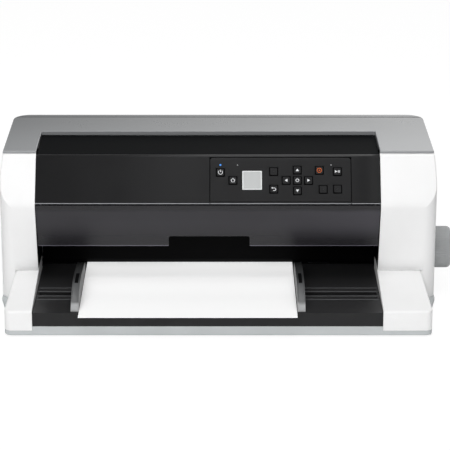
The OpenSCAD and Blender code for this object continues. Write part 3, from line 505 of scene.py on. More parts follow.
@dataclass(frozen=True)
class Glow(Finish):
    """A lit lens, a little uneven inside."""

    colour: Triple = (90, 160, 255)
    strength: float = 1.0

    def build(self, shader: Shader) -> None:
        """A fine noise stirs the lit colour inside the lens."""
        stir = shader.noise(0.6, 2.0)
        base = linear(self.colour)
        lit = shader.mix(stir.between(0.3, 0.8), base, scaled(base, 1.3, 0.02))
        shader.surface(
            Base_Color=lit,
            Roughness=stir * 0.1 + 0.15,
            Emission_Color=lit,
            Emission_Strength=self.strength,
        )


class Finishes:
    """The finishes of this printer."""

    WHITE = Moulding("white_casing", (247, 247, 247), 0.5, 0.35, 0.010, 0.8, 0.012)
    # its last value, fade, paints shade: the grey top is darker towards the rear
    GREY_TOP = Moulding("grey_top", (154, 156, 158), 0.3, 0.5, 0.008, 0.7, 0.02, 0.5, 0.5)
    GREY_BASE = Moulding("grey_base", (197, 201, 202), 0.5, 0.4, 0.014, 0.8, 0.02)
    KNOB = Moulding("knob_grey", (164, 166, 167), 0.36, 0.6, 0.02, 0.7, 0.03)
    PANEL = Moulding("panel_black", (37, 37, 38), 0.42, 0.32, 0.012, 0.5, 0.08)
    KEYPAD = Moulding("keypad_black", (39, 39, 40), 0.42, 0.28, 0.008, 0.5, 0.06)
    KEY = Moulding("key_black", (41, 41, 42), 0.5, 0.2, 0.006, 0.5, 0.06)
    LID = Moulding("lid_black", (19, 20, 21), 0.45, 0.006, 0.016, 0.6, 0.08)
    TRAY = Moulding("tray_black", (36, 36, 37), 0.46, 0.3, 0.03, 0.6, 0.1)
    # lighter grey on the tray's ridges: painted highlight
    RIDGE_HIGHLIGHT = Moulding("tray_ridge_highlight", (96, 97, 99), 0.36, 0.4, 0.01, 0.6, 0.1)
    # near-black: the colour of the black inner parts, and painted shade on the key sides, the panel's groove
    # and the guides' windows
    BLACK_AND_PAINTED_SHADE = Moulding("inside_black_and_painted_shade", (7, 7, 8), 0.6, 0.06, 0.02, 0.7, 0.1)
    CARTRIDGE = Moulding("cartridge_black", (26, 26, 27), 0.4, 0.4, 0.02, 0.6, 0.08)
    BLUE = Moulding("ribbon_blue", (48, 92, 170), 0.4, 0.5, 0.02, 0.6, 0.05)
    ACETAL = Moulding("gear_acetal", (224, 221, 208), 0.42, 0.5, 0.006, 0.6, 0.02)
    SOCKET = Moulding("socket_black", (24, 24, 25), 0.5, 0.4, 0.02, 0.5, 0.05)
    CHIP = Moulding("chip_resin", (30, 30, 31), 0.55, 0.3, 0.03, 0.3, 0.05)
    IVORY_PORT = Moulding("port_ivory", (206, 202, 188), 0.5, 0.4, 0.01, 0.5, 0.03)
    MARK = Moulding("mark_white", (226, 228, 230), 0.5, 0.3, 0.002, 0.4, 0.01)
    MARK_ORANGE = Moulding("mark_orange", (214, 104, 42), 0.5, 0.3, 0.002, 0.4, 0.02)
    DISPLAY_RIM = Moulding("display_rim", (226, 228, 228), 0.35, 0.4, 0.002, 0.4, 0.01)
    # light grey bead standing in for the highlight along the crease: painted highlight
    CREASE_HIGHLIGHT = Moulding("crease_painted_highlight", (150, 152, 156), 0.3, 0.5, 0.002, 0.5, 0.02)
    SMOKE = SmokePlastic("smoke_cover")
    PAPER = Paper("sheet_paper")
    RUBBER = Rubber("soft_rubber")
    SHEET_STEEL = Metal("galvanised_sheet", (196, 199, 203), Grain.SPANGLED, 0.34)
    BRIGHT_STEEL = Metal("ground_shaft", (206, 207, 210), Grain.TURNED, 0.2)
    PLATEN_STEEL = Metal("platen_steel", (88, 90, 94), Grain.BRUSHED, 0.36)
    BRASS = Metal("pinion_brass", (206, 168, 92), Grain.TURNED, 0.28)
    MOTOR = Metal("motor_shell", (120, 122, 126), Grain.BRUSHED, 0.42)
    HEAD_METAL = Metal("head_casting", (112, 114, 118), Grain.CAST, 0.46)
    ALLOY = Metal("pulley_alloy", (198, 200, 204), Grain.TURNED, 0.3)
    BOARD = CircuitBoard("circuit_board")
    PANE = DisplayPane("display_pane")
    LED = Glow("led_blue", (56, 118, 190), 0.7)


# ------------------------------------------------------------------ shapes


class Shape:
    """Points and faces in millimetres, gathered part by part, each face with its finish's number."""

    def __init__(self) -> None:
        """Starts with nothing."""
        self.points: list[np.ndarray] = []
        self.faces: list[list[int]] = []
        self.marks: list[int] = []
        self.count = 0

    def add(self, points: np.ndarray, faces: Iterable[Sequence[int]], mark: int = 0) -> "Shape":
        """Adds points and the faces among them.

        Args:
            points: an array of n by 3.
            faces: each a list of numbers into points.
            mark: the number of the finish.

        Returns:
            This shape.
        """
        rows = [[int(i) + self.count for i in face] for face in faces]
        self.points.append(np.asarray(points, float).reshape(-1, 3))
        self.faces += rows
        self.marks += [mark] * len(rows)
        self.count += len(self.points[-1])
        return self

    def grid(self, points: np.ndarray, mark: int = 0, loop: bool = False, ring: bool = False) -> "Shape":
        """Joins rows and columns of points by quads.

        Args:
            points: rows by columns by 3.
            mark: the number of the finish.
            loop: whether each row closes on itself.
            ring: whether the last row joins the first.

        Returns:
            This shape.
        """
        rows, columns = points.shape[:2]
        i = np.arange(rows if ring else rows - 1)[:, None]
        j = np.arange(columns if loop else columns - 1)[None, :]
        up, on = (i + 1) % rows, (j + 1) % columns
        corners = [i * columns + j, i * columns + on, up * columns + on, up * columns + j]
        quads = np.stack([c + 0 * i + 0 * j for c in corners], -1).reshape(-1, 4)
        return self.add(points, quads.tolist(), mark)

    def cells(self, points: np.ndarray, keep: np.ndarray, mark: int = 0) -> "Shape":
        """Joins rows and columns of points by quads, but only where keep, one smaller each way, is true."""
        columns = points.shape[1]
        corners = [[i * columns + j, i * columns + j + 1, (i + 1) * columns + j + 1, (i + 1) * columns + j]
                   for i, j in np.argwhere(keep)]
        return self.add(points, corners, mark)

    def loft(self, sections: np.ndarray, mark: int = 0) -> "Shape":
        """Joins closed sections one after the other and closes both ends."""
        rows, columns = sections.shape[:2]
        self.grid(sections, mark, loop=True)
        ends = [list(range(columns))[::-1], list(range((rows - 1) * columns, rows * columns))]
        self.faces += [[i + self.count - rows * columns for i in face] for face in ends]
        self.marks += [mark, mark]
        return self

    def plate(self, outline: np.ndarray, low: float, high: float, mark: int = 0) -> "Shape":
        """A flat plate of an outline of x and y between two heights."""
        return self.loft(np.array([at_height(outline, z) for z in (low, high)]), mark)

    def moved(self, change: Callable[[np.ndarray], np.ndarray]) -> "Shape":
        """The same faces on points put through a function."""
        made = Shape()
        made.points = [change(np.vstack(self.points))]
        made.faces, made.marks, made.count = self.faces, self.marks, self.count
        return made

    def join(self, other: "Shape") -> "Shape":
        """Takes in another shape."""
        if other.count:
            start = self.count
            self.points += other.points
            self.faces += [[i + start for i in face] for face in other.faces]
            self.marks += other.marks
            self.count += other.count
        return self


def arc(centre: tuple[float, float], radius: float, start: float, end: float, steps: int) -> np.ndarray:
    """Points on a circle between two angles in degrees."""
    a = np.radians(np.linspace(start, end, steps + 1))
    return np.stack([centre[0] + radius * np.cos(a), centre[1] + radius * np.sin(a)], -1)


def rounded(
    x: tuple[float, float], y: tuple[float, float], radii: Sequence[float], steps: int = 5
) -> np.ndarray:
    """A rectangle with round corners, turning left from its low corner.

    Args:
        x: its least and greatest x.
        y: its least and greatest y.
        radii: the radii of the corners, low-low, high-low, high-high and low-high.
        steps: the steps round each corner.

    Returns:
        The outline as an array of n by 2.
    """
    r = [max(0.01, value) for value in radii]
    return np.vstack([
        arc((x[0] + r[0], y[0] + r[0]), r[0], 180, 270, steps),
        arc((x[1] - r[1], y[0] + r[1]), r[1], 270, 360, steps),
        arc((x[1] - r[2], y[1] - r[2]), r[2], 0, 90, steps),
        arc((x[0] + r[3], y[1] - r[3]), r[3], 90, 180, steps),
    ])


def at_height(outline: np.ndarray, height: float) -> np.ndarray:
    """An outline of x and y as points at a height."""
    return np.hstack([outline, np.full((len(outline), 1), height)])


def edge_profile(low: float, high: float, bottom: float, top: float) -> list[tuple[float, float]]:
    """Insets and heights of a block's wall with quarter-round edges at its bottom and its top."""
    turn = np.radians(np.linspace(0, 90, 5))
    rows = []
    if bottom > 0:
        rows += [(bottom * (1 - math.sin(a)), low + bottom * (1 - math.cos(a))) for a in turn]
    else:
        rows.append((0.0, low))
    if top > 0:
        rows += [(top * (1 - math.cos(a)), high - top * (1 - math.sin(a))) for a in turn]
    else:
        rows.append((0.0, high))
    return rows


def slab(
    x: tuple[float, float],
    y: tuple[float, float],
    z: tuple[float, float],
    corner: float | Sequence[float] = 1.0,
    top: float = 0.5,
    bottom: float = 0.0,
    steps: int = 5,
    mark: int = 0,
) -> Shape:
    """A block with rounded upright corners and rounded edges at its top and bottom.

    Args:
        x: its least and greatest x.
        y: its least and greatest y.
        z: its least and greatest z.
        corner: the radius of the upright corners, or one for each.
        top: the radius along its upper edge.
        bottom: the radius along its lower edge.
        steps: the steps round each corner.
        mark: the number of the finish.

    Returns:
        The block as a closed shape.
    """
    radii = [corner] * 4 if isinstance(corner, (int, float)) else list(corner)
    rows = []
    for inset, height in edge_profile(z[0], z[1], bottom, top):
        sides = ((x[0] + inset, x[1] - inset), (y[0] + inset, y[1] - inset))
        rows.append(at_height(rounded(*sides, [r - inset for r in radii], steps), height))
    return Shape().loft(np.array(rows), mark)


def turned(profile: Sequence[tuple[float, float]], sides: int, ripple: Callable | None = None) -> Shape:
    """A body turned round the X axis.

    Args:
        profile: (x, radius) pairs from one end to the other.
        sides: the steps round the axis.
        ripple: gives a change of the radius from arrays of the angle and of the profile.

    Returns:
        The turned shape, round the X axis itself.
    """
    p = np.asarray(profile, float)
    a = np.linspace(0, 2 * np.pi, sides, endpoint=False)[None, :]
    r = p[:, 1:2] + (ripple(a, p) if ripple else 0.0 * a)
    x = p[:, 0:1] + 0.0 * a
    return Shape().grid(np.stack([x, r * np.cos(a), r * np.sin(a)], -1), loop=True)


def shift(dx: float, dy: float, dz: float) -> Callable[[np.ndarray], np.ndarray]:
    """A function that moves points."""
    return lambda p: p + np.array([dx, dy, dz])


def upright(x: float, y: float, z: float) -> Callable[[np.ndarray], np.ndarray]:
    """A function that turns a body round X into one round Z and puts it at a place."""
    return lambda p: np.stack([p[:, 2] + x, p[:, 1] + y, p[:, 0] + z], -1)


# ------------------------------------------------------------------ the bench


def placed(name: str, data: bpy.types.ID) -> bpy.types.Object:
    """A new object in the scene."""
    made = bpy.data.objects.new(name, data)
    bpy.context.scene.collection.objects.link(made)
    return made


def clad(mesh: bpy.types.Mesh, finish: Finish) -> None:
    """Gives all of a mesh one finish in place of any that it has."""
    mesh.materials.clear()
    mesh.materials.append(finish.material())


@dataclass
class Rounding:
    """A radius for the edges whose middle lies in a box, in the case's millimetres."""

    low: Triple
    high: Triple
    radius: float


@dataclass
class Bench:
    """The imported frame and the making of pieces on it."""

    frame: dict
    bodies: dict[str, str] = field(default_factory=dict)
    slots: dict[str, str] = field(default_factory=dict)
    made: list[str] = field(default_factory=list)

    def __post_init__(self) -> None:
        """Reads which body and which material slot each node has."""
        record = self.frame["record"]
        self.slots = {row["node"]: row["material_slot"] for row in record["subparts"]}
        for body, nodes in record["behaviour"]["bodies"].items():
            self.bodies.update({node: body for node in nodes})

    def finish_piece(self, piece: bpy.types.Object, node: str, stands_for: bool = True) -> bpy.types.Object:
        """Puts a piece on the body of a node, hides the node if the piece stands for it, and logs it."""
        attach(piece, self.bodies[node])
        if stands_for:
            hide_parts(node)
        self.made.append(piece.name)
        LOG.info("%s on %s, %d faces", piece.name, self.bodies[node], len(piece.data.polygons))
        return piece

    def make(
        self,
        name: str,
        shape: Shape,
        node: str,
        finishes: Sequence[Finish],
        stands_for: bool = True,
        angle: float = 35.0,
        bevel: float = 0.0,
        wall: float = 0.0,
        closed: bool = True,
    ) -> bpy.types.Object:
        """Makes a piece from a shape.

        Args:
            name: the piece's name.
            shape: its points and faces in the case's millimetres.
            node: the CAD node that it stands for or sits on.
            finishes: one for each mark in the shape.
            stands_for: whether the node is hidden and replaced.
            angle: the angle in degrees from which an edge stays sharp.
            bevel: the radius in millimetres of a bevel on sharp edges.
            wall: the wall's thickness in millimetres, inwards.
            closed: whether the faces enclose a solid, so that normals can be worked out.

        Returns:
            The piece.
        """
        points = (np.vstack(shape.points) + CASE_ORIGIN) / MM
        mesh = bpy.data.meshes.new(name)
        mesh.from_pydata(points.tolist(), [], shape.faces)
        mesh.polygons.foreach_set("material_index", np.array(shape.marks, np.int32))
        work = bmesh.new()
        work.from_mesh(mesh)
        bmesh.ops.remove_doubles(work, verts=work.verts, dist=MERGE_DISTANCE)
        bmesh.ops.dissolve_degenerate(work, edges=work.edges, dist=1e-6)
        if closed:
            bmesh.ops.recalc_face_normals(work, faces=work.faces)
        work.to_mesh(mesh)
        work.free()
        piece = placed(name, mesh)
        for finish in finishes:
            mesh.materials.append(finish.material())
        if wall:
            solid = piece.modifiers.new("wall", "SOLIDIFY")
            solid.thickness, solid.offset = wall / MM, -1.0
        if bevel:
            edge = piece.modifiers.new("edges", "BEVEL")
            edge.width, edge.segments, edge.limit_method = bevel / MM, 3, "ANGLE"
            edge.angle_limit, edge.use_clamp_overlap = math.radians(40), False
        self.shade(mesh, angle)
        return self.finish_piece(piece, node, stands_for)

    @staticmethod
    def shade(mesh: bpy.types.Mesh, angle: float) -> None:
        """Smooths a mesh but for the edges above an angle."""
        mesh.shade_smooth()
        mesh.set_sharp_from_angle(angle=math.radians(angle))

    def refine(
        self, node: str, finish: Finish, radius: float, extra: Sequence[Rounding] = (), segments: int = 3
    ) -> bpy.types.Object:
        """Copies a CAD node, merges its triangles and rounds its edges.

        Args:
            node: the node's name.
            finish: its finish.
            radius: the radius in millimetres along every sharp edge.
            extra: other radii for edges in given boxes.
            segments: the steps across each rounded edge.

        Returns:
            The piece that stands for the node.
        """
        mesh = self.frame["nodes"][node].data.copy()
        mesh.name = f"{node}_shell"
        work = bmesh.new()
        work.from_mesh(mesh)
        bmesh.ops.remove_doubles(work, verts=work.verts, dist=MERGE_DISTANCE)
        bmesh.ops.dissolve_limit(
            work,
            angle_limit=math.radians(FLAT_ANGLE),
            verts=work.verts,
            edges=work.edges,
            use_dissolve_boundaries=False,
        )
        largest = max([radius, *(rule.radius for rule in extra)])
        layers, kind = work.edges.layers.float, "bevel_weight_edge"
        weight = layers.get(kind) or layers.new(kind)
        for edge in work.edges:
            if len(edge.link_faces) != 2 or edge.calc_face_angle(0.0) < math.radians(SHARP_ANGLE):
                continue
            middle = np.array((edge.verts[0].co + edge.verts[1].co) / 2) * MM - CASE_ORIGIN
            chosen = radius
            for rule in extra:
                if np.all(middle >= rule.low) and np.all(middle <= rule.high):
                    chosen = rule.radius
            edge[weight] = chosen / largest
        work.to_mesh(mesh)
        work.free()
        piece = placed(f"{node}_shell", mesh)
        clad(mesh, finish)
        edge = piece.modifiers.new("edges", "BEVEL")
        edge.width, edge.segments, edge.limit_method = largest / MM, segments, "WEIGHT"
        edge.use_clamp_overlap = False
        self.shade(mesh, 30)
        weighted = piece.modifiers.new("normals", "WEIGHTED_NORMAL")
        weighted.keep_sharp = True
        return self.finish_piece(piece, node)

    def dress(self, node: str, finish: Finish) -> None:
        """Gives a CAD node whose shape stays as it is its finish."""
        clad(self.frame["nodes"][node].data, finish)
        LOG.info("%s keeps its shape, finish %s", node, finish.name)


# ------------------------------------------------------------------ casing


@dataclass
class Casing:
    """The white, grey and black shells that make the outside."""

    half_w: float = 304.0
    depth: float = 402.0
    face_y: float = 129.0
    brow_z: float = BROW_Z
    nose: tuple[float, float] = CREASE
    slope: float = SLOPE
    corner: float = 20.0
    knee_z: float = 140.0
    rear_run: float = 32.0
    top_z: float = 211.8
    under_z: float = 52.0
    flare: float = 3.2
    flare_z: float = 176.0
    rim_z: float = 10.2
    widths: tuple[float, float] = (46.9, 76.2)
    taper: float = 3.3
    tray_z: float = TRAY_Z
    cheek_end: float = 205.0
    edge: float = 2.6
    lead: float = 110.0
    arm_inner: tuple[float, float] = (253.8, 224.5)
    foot_x: float = 268.0
    foot_y: tuple[float, float] = (26.0, 372.0)

    def front(self, z: np.ndarray) -> np.ndarray:
        """Distance of the front at a height: upright, then a bent brow, then the slanted face."""
        knots_z = [0.0, self.brow_z, self.brow_z + 3.2, self.brow_z + 6.2, self.nose[1], 400.0]
        top = self.nose[0] + (400.0 - self.nose[1]) / self.slope
        return np.interp(z, knots_z, [self.face_y, self.face_y, 129.35, 130.45, self.nose[0], top])

    def rear(self, z: np.ndarray) -> np.ndarray:
        """Distance of the rear at a height: upright, then sloping forwards to the top."""
        over = np.clip(z - self.knee_z, 0.0, None)
        return self.depth - over * self.rear_run / (215.0 - self.knee_z)

    def inner(self, z: np.ndarray, width: float) -> np.ndarray:
        """Width of a side panel at a height; the cheek widens towards the tray."""
        return width + self.widening(z)

    def widening(self, z: np.ndarray) -> np.ndarray:
        """How much wider the cheek has become at a height, on its way down to the tray."""
        return self.taper * np.clip((self.brow_z - z) / (self.brow_z - self.tray_z), 0.0, 1.05)

    def stand_out(self, z: np.ndarray) -> np.ndarray:
        """How far a side stands out beside the grey top at a height: level, then curving in to nothing."""
        u = np.clip((z - self.flare_z) / (216.0 - self.flare_z), 0.0, 1.0)
        return self.flare * (1.0 - 0.8 * u**2 - 0.2 * u)

    def half_section(
        self, back: np.ndarray, big: np.ndarray, steps: int = 7
    ) -> tuple[np.ndarray, np.ndarray]:
        """The way round one upright corner, cut by a plane, with a small fillet where they meet.

        The fillet is the circle of radius edge inside the corner's circle that touches it and the plane:
        its middle lies corner - edge from the corner's own middle. Past the corner it touches the side.

        Args:
            back: how far behind the outermost plane the cut lies, one value for each height.
            big: the corner's radius, one value for each height.
            steps: the steps along the fillet and along the arc.

        Returns:
            Distances in from the side and distances behind the outermost plane, heights by steps.
        """
        small = self.edge
        reach = big - back - small
        free = reach < 0.0
        across = np.sqrt(np.clip((big - small) ** 2 - reach**2, 0.0, None))
        middle = np.where(free, small, big - across)
        turn = np.where(free, np.pi / 2, np.arctan2(across, np.maximum(reach, 1e-9)))
        t = np.linspace(0, 1, steps + 1)[None, :]
        a = turn[:, None] * t
        fillet_q = middle[:, None] - small * np.sin(a)
        fillet_d = (back + small)[:, None] - small * np.cos(a)
        b = turn[:, None] + (np.pi / 2 - turn[:, None]) * t
        wide = big[:, None]
        arc_q = np.where(free[:, None], 0.0, wide - wide * np.sin(b))
        arc_d = np.where(free[:, None], (back + small)[:, None] + 4.0 * t, wide - wide * np.cos(b))
        start = arc_d[:, -1:]
        side_d = start + (self.lead - start) * np.linspace(0, 1, 5)[None, 1:]
        q = np.hstack([fillet_q, arc_q[:, 1:], np.zeros_like(side_d)])
        d = np.hstack([fillet_d, arc_d[:, 1:], side_d])
        return q, d

    def panel_shell(self, side: int, width: float) -> Shape:
        """One white side panel as a shell.

        Each height gives one way round the panel: along the cheek to its rolled edge, across the front,
        round the corner, along the side, round the rear corner and across the rear. Below the front's
        lower edge, over the arm, the way starts at the outer strip instead. The cheek is lined in black
        behind its rolled edge.
        """
        brow = np.linspace(self.brow_z - 2.0, self.nose[1] + 1.0, 9)
        rise = np.linspace(self.nose[1] + 3.0, self.top_z, 18)
        z = np.concatenate([[self.under_z + 0.9, 70.0, 100.0, 125.0], brow, rise])
        shape = Shape()
        ways = self._ways(z, side, self.inner(z, width) + self.stand_out(z), 1.1)
        shape.grid(ways[:, :2][:, ::side], 1).grid(ways[:, 1:][:, ::side])
        # the lower edge of the front turns under in a quarter circle and runs back as a ceiling
        turn = np.radians(np.linspace(0, 90, 6))
        low = self.under_z + 0.9 - 0.9 * np.sin(turn)
        into = 0.9 - 0.9 * np.cos(turn)
        wide = self.inner(low, width) + self.flare
        strip = self.flare + 17.4
        across = np.linspace(0.0, 1.0, 12)[None, :]
        q = wide[:, None] + (strip - wide[:, None]) * across
        y = self.face_y + into[:, None] + 0.0 * q
        lip = np.stack([q, y, low[:, None] + 0.0 * q], -1)
        back = np.stack([q[-1], np.full(12, 190.0), np.full(12, self.under_z)], -1)[None]
        shape.grid(self._mirrored(np.concatenate([lip, back]), side)[:, ::-side])
        # the outer strip beside the arm and the lower side and rear
        z = np.array([self.rim_z, self.rim_z + 0.8, 20.0, 29.4, 36.0, 50.6, self.under_z + 0.9])
        ways = self._ways(z, side, np.full(7, strip), 0.6)
        shape.grid(ways[:, :-4][:, ::side])
        inmost = np.full(7, width + self.flare)
        marks = np.array([26.0, 33.0, 40.0, 46.8])
        begin = self.half_w + self.flare - side * ways[:, -5, 0]
        q = np.hstack([begin[:, None], np.repeat(marks[None], 7, 0), inmost[:, None]])
        rear = np.stack([q, np.full_like(q, self.depth), np.repeat(z[:, None], q.shape[1], 1)], -1)
        keep = np.ones((6, 5), bool)
        if side < 0:
            keep[3:5, :4] = False  # the inlet's cut-out
        shape.cells(self._mirrored(rear, side)[:, ::side], keep[:, ::side])
        return shape

    def _mirrored(self, p: np.ndarray, side: int) -> np.ndarray:
        """Turns distances in from the side into x, for the left (-1) or the right (1) panel."""
        q, y, z = p[..., 0], p[..., 1], p[..., 2]
        return np.stack([side * (self.half_w + self.stand_out(z) - q), y, z], -1)

    def _ways(self, z: np.ndarray, side: int, width: np.ndarray, roll: float) -> np.ndarray:
        """The ways round a panel at several heights, as a grid of points."""
        n = len(z)
        yf, yr = self.front(z), self.rear(z)
        q1, d1 = self.half_section(yf - self.face_y, np.full(n, self.corner))
        rear_corner = self.corner + 4.0 * np.clip((z - self.knee_z + 6.0) / 12.0, 0.0, 1.0)
        q2, d2 = self.half_section(0.0 * z, rear_corner)
        y1, y2 = self.face_y + d1, yr[:, None] - d2
        low = width[:, None] < q1[:, :1] + roll
        q1 = np.minimum(q1, width[:, None] - roll * 0.3)
        y1 = np.where(low, np.maximum(y1, self._arc_y(q1)), y1)
        a = np.radians(np.linspace(0, 90, 5))[None, :]
        cheek_q = np.repeat(width[:, None], 2, 1)
        front0 = y1[:, :1]
        cheek_y = np.hstack([np.full((n, 1), self.cheek_end), front0 + roll + 0.5])
        roll_q = width[:, None] - roll + roll * np.cos(a)
        roll_y = front0 + roll - roll * np.sin(a)
        roll_q = np.where(low, np.minimum(roll_q, width[:, None]), roll_q)
        span = np.linspace(0, 1, 9)[None, 1:-1]
        front_q = roll_q[:, -1:] + (q1[:, :1] - roll_q[:, -1:]) * span
        front_y = np.where(low, roll_y[:, -1:] + 0.0 * span, yf[:, None] + 0.0 * span)
        behind = width - self.widening(z)
        rear_q = q2[:, :1] + (behind[:, None] - q2[:, :1]) * np.linspace(0, 1, 5)[None, :]
        rear_y = np.repeat(yr[:, None], 5, 1)
        q = np.hstack([cheek_q, roll_q, front_q, q1, q2[:, ::-1], rear_q[:, 1:]])
        y = np.hstack([cheek_y, roll_y, front_y, y1, y2[:, ::-1], rear_y[:, 1:]])
        points = np.stack([q, y, np.repeat(z[:, None], q.shape[1], 1)], -1)
        return self._mirrored(points, side)

    def _arc_y(self, q: np.ndarray) -> np.ndarray:
        """Distance of the front corner's arc at a distance in from the side."""
        return self.face_y + self.corner - np.sqrt(np.clip(self.corner**2 - (self.corner - q) ** 2, 0, None))

    def build(self, bench: Bench) -> None:
        """Makes the shells, the arms, the feet and the screws."""
        for side, name, width in ((-1, "left", self.widths[0]), (1, "right", self.widths[1])):
            shell = self.panel_shell(side, width)
            node = f"side_panel_{name}"
            lining = [Finishes.WHITE, Finishes.BLACK_AND_PAINTED_SHADE]
            bench.make(f"side_shell_{name}", shell, node, lining, wall=2.2, closed=False, angle=28)
        rear_edge = Rounding((-310, 360, 210), (310, 400, 216), 1.6)
        front_edge = Rounding((-310, 170, 214), (310, 176, 216), 0.6)
        bench.refine("top_frame", Finishes.GREY_TOP, 0.9, [rear_edge, front_edge])
        foot_edge = Rounding((-310, -1, 2.5), (310, 403, 3.5), 1.6)
        bench.refine("lower_case", Finishes.GREY_BASE, 0.7, [foot_edge])
        bench.refine("rear_panel", Finishes.GREY_BASE, 0.5)
        self.arm(bench, "arm_left", -1, self.arm_inner[0])
        self.arm(bench, "arm_right", 1, self.arm_inner[1])
        self.feet(bench)
        self.screws(bench)

    def arm(self, bench: Bench, node: str, side: int, inner: float) -> None:
        """An arm beside the tray.

        Its top rises in a straight line to the face, its outer side draws in on the way, and its front
        outer corner is a quarter circle of 10 mm, so the half width there is
        x = 282 + sqrt(100 - (10 - y)^2) at a distance y from the front.

        Args:
            bench: the bench.
            node: the arm's CAD node.
            side: -1 for the left arm and 1 for the right one.
            inner: the distance of its inner side from the middle.
        """
        soft, face = 3.0, self.face_y - 1.0
        turn = np.radians(np.linspace(0, 90, 8))
        tip = soft * (1 - np.cos(turn))
        y = np.concatenate([tip, [4.0, 5.5, 7.5, 10.0], np.linspace(25, face, 7), [189.5]])
        drop = np.where(y < soft, soft - np.sqrt(np.clip(soft**2 - (soft - y) ** 2, 0, None)), 0.0)
        top = np.interp(y, [0.0, face], [37.5, self.under_z - 0.3]) - drop
        nose = np.where(y < 10, 282.0 + np.sqrt(np.clip(100 - (10 - y) ** 2, 0, None)), 292.0)
        outer = nose - np.interp(y, [10.0, face], [0.0, 5.7])
        sections = []
        r, e = 2.6, 0.9
        for k in range(len(y)):
            crown = arc((outer[k] - r, top[k] - r), r, 0, 90, 7)
            shoulder = arc((inner + e, top[k] - e), e, 90, 180, 4)
            line = np.vstack([[[outer[k], self.rim_z]], crown, shoulder, [[inner, self.rim_z]]])
            sections.append(np.stack([side * line[:, 0], np.full(len(line), y[k]), line[:, 1]], -1))
        shape = Shape().loft(np.array(sections))
        bench.make(f"{node}_shell", shape, node, [Finishes.WHITE], angle=50)

    def feet(self, bench: Bench) -> None:
        """Round rubber feet with a hollow in the sole and a plug above."""
        shape = Shape()
        profile = [(0.6, 0.0), (0.6, 5.6), (0.0, 6.4), (0.0, 8.3), (0.5, 8.9)]
        profile += [(2.4, 9.0), (3.0, 8.6), (3.0, 3.0), (5.4, 3.0), (5.5, 0.0)]
        for x in (-self.foot_x, self.foot_x):
            for y in self.foot_y:
                shape.join(turned(profile, 40).moved(upright(x, y, 0.0)))
        bench.make("rubber_foot_pads", shape, "rubber_feet", [Finishes.RUBBER])

    def screws(self, bench: Bench) -> None:
        """Pan-head screws with a cross recess pressed into the head."""
        shape = Shape()
        r = np.linspace(0, 1, 14)[:, None]
        a = np.linspace(0, 2 * np.pi, 48, endpoint=False)[None, :]

        def head(radius: float, height: float, shank: float, length: float) -> Shape:
            """A dome of height (1 - 0.45 r^4), with a cross of half-width 0.13 sunk by half the height."""
            x, y = r * np.cos(a), r * np.sin(a)
            cross = (np.minimum(abs(x), abs(y)) < 0.13) & (np.maximum(abs(x), abs(y)) < 0.62)
            z = height * (1 - 0.45 * r**4 - 0.5 * cross) + 0 * a
            dome = np.stack([z, radius * x, radius * y], -1)
            stem = ((0.0, radius), (0.0, shank), (-length, shank * 0.9), (-length, 0.01))
            wall = [np.stack([0 * a + zz, rr * np.cos(a), rr * np.sin(a)], -1)[0] for zz, rr in stem]
            return Shape().grid(np.concatenate([dome, np.array(wall)]), loop=True)

        def facing_rear(x: float, y: float, z: float) -> Callable[[np.ndarray], np.ndarray]:
            """Turns a body round X to stand out of the rear."""
            return lambda p: np.stack([p[:, 1] + x, p[:, 0] + y, p[:, 2] + z], -1)

        for x in (-245.1, 215.8):
            for z in (20.0, 132.0):
                shape.join(head(3.6, 1.25, 1.45, 8.0).moved(facing_rear(x, 400.5, z)))
        for x in (-252.5, 223.2):
            for y in (216.0, 344.0):
                shape.join(head(3.0, 1.9, 1.4, 1.0).moved(upright(x, y, 9.6)))
        bench.make("case_screw_heads", shape, "case_screws", [Finishes.BRIGHT_STEEL])


# ------------------------------------------------------------------ front panel and its controls


class Icon(Enum):
    """What a key shows."""

    POWER = "ring with a bar"
    HOME = "house"
    BLANK = "nothing"
    BACK = "returning arrow"
    UP = "triangle up"
    DOWN = "triangle down"
    LEFT = "triangle left"
    RIGHT = "triangle right"
    CONFIRM = "ring"
    CANCEL = "orange ring with a triangle"
    PAUSE = "triangle and two bars"


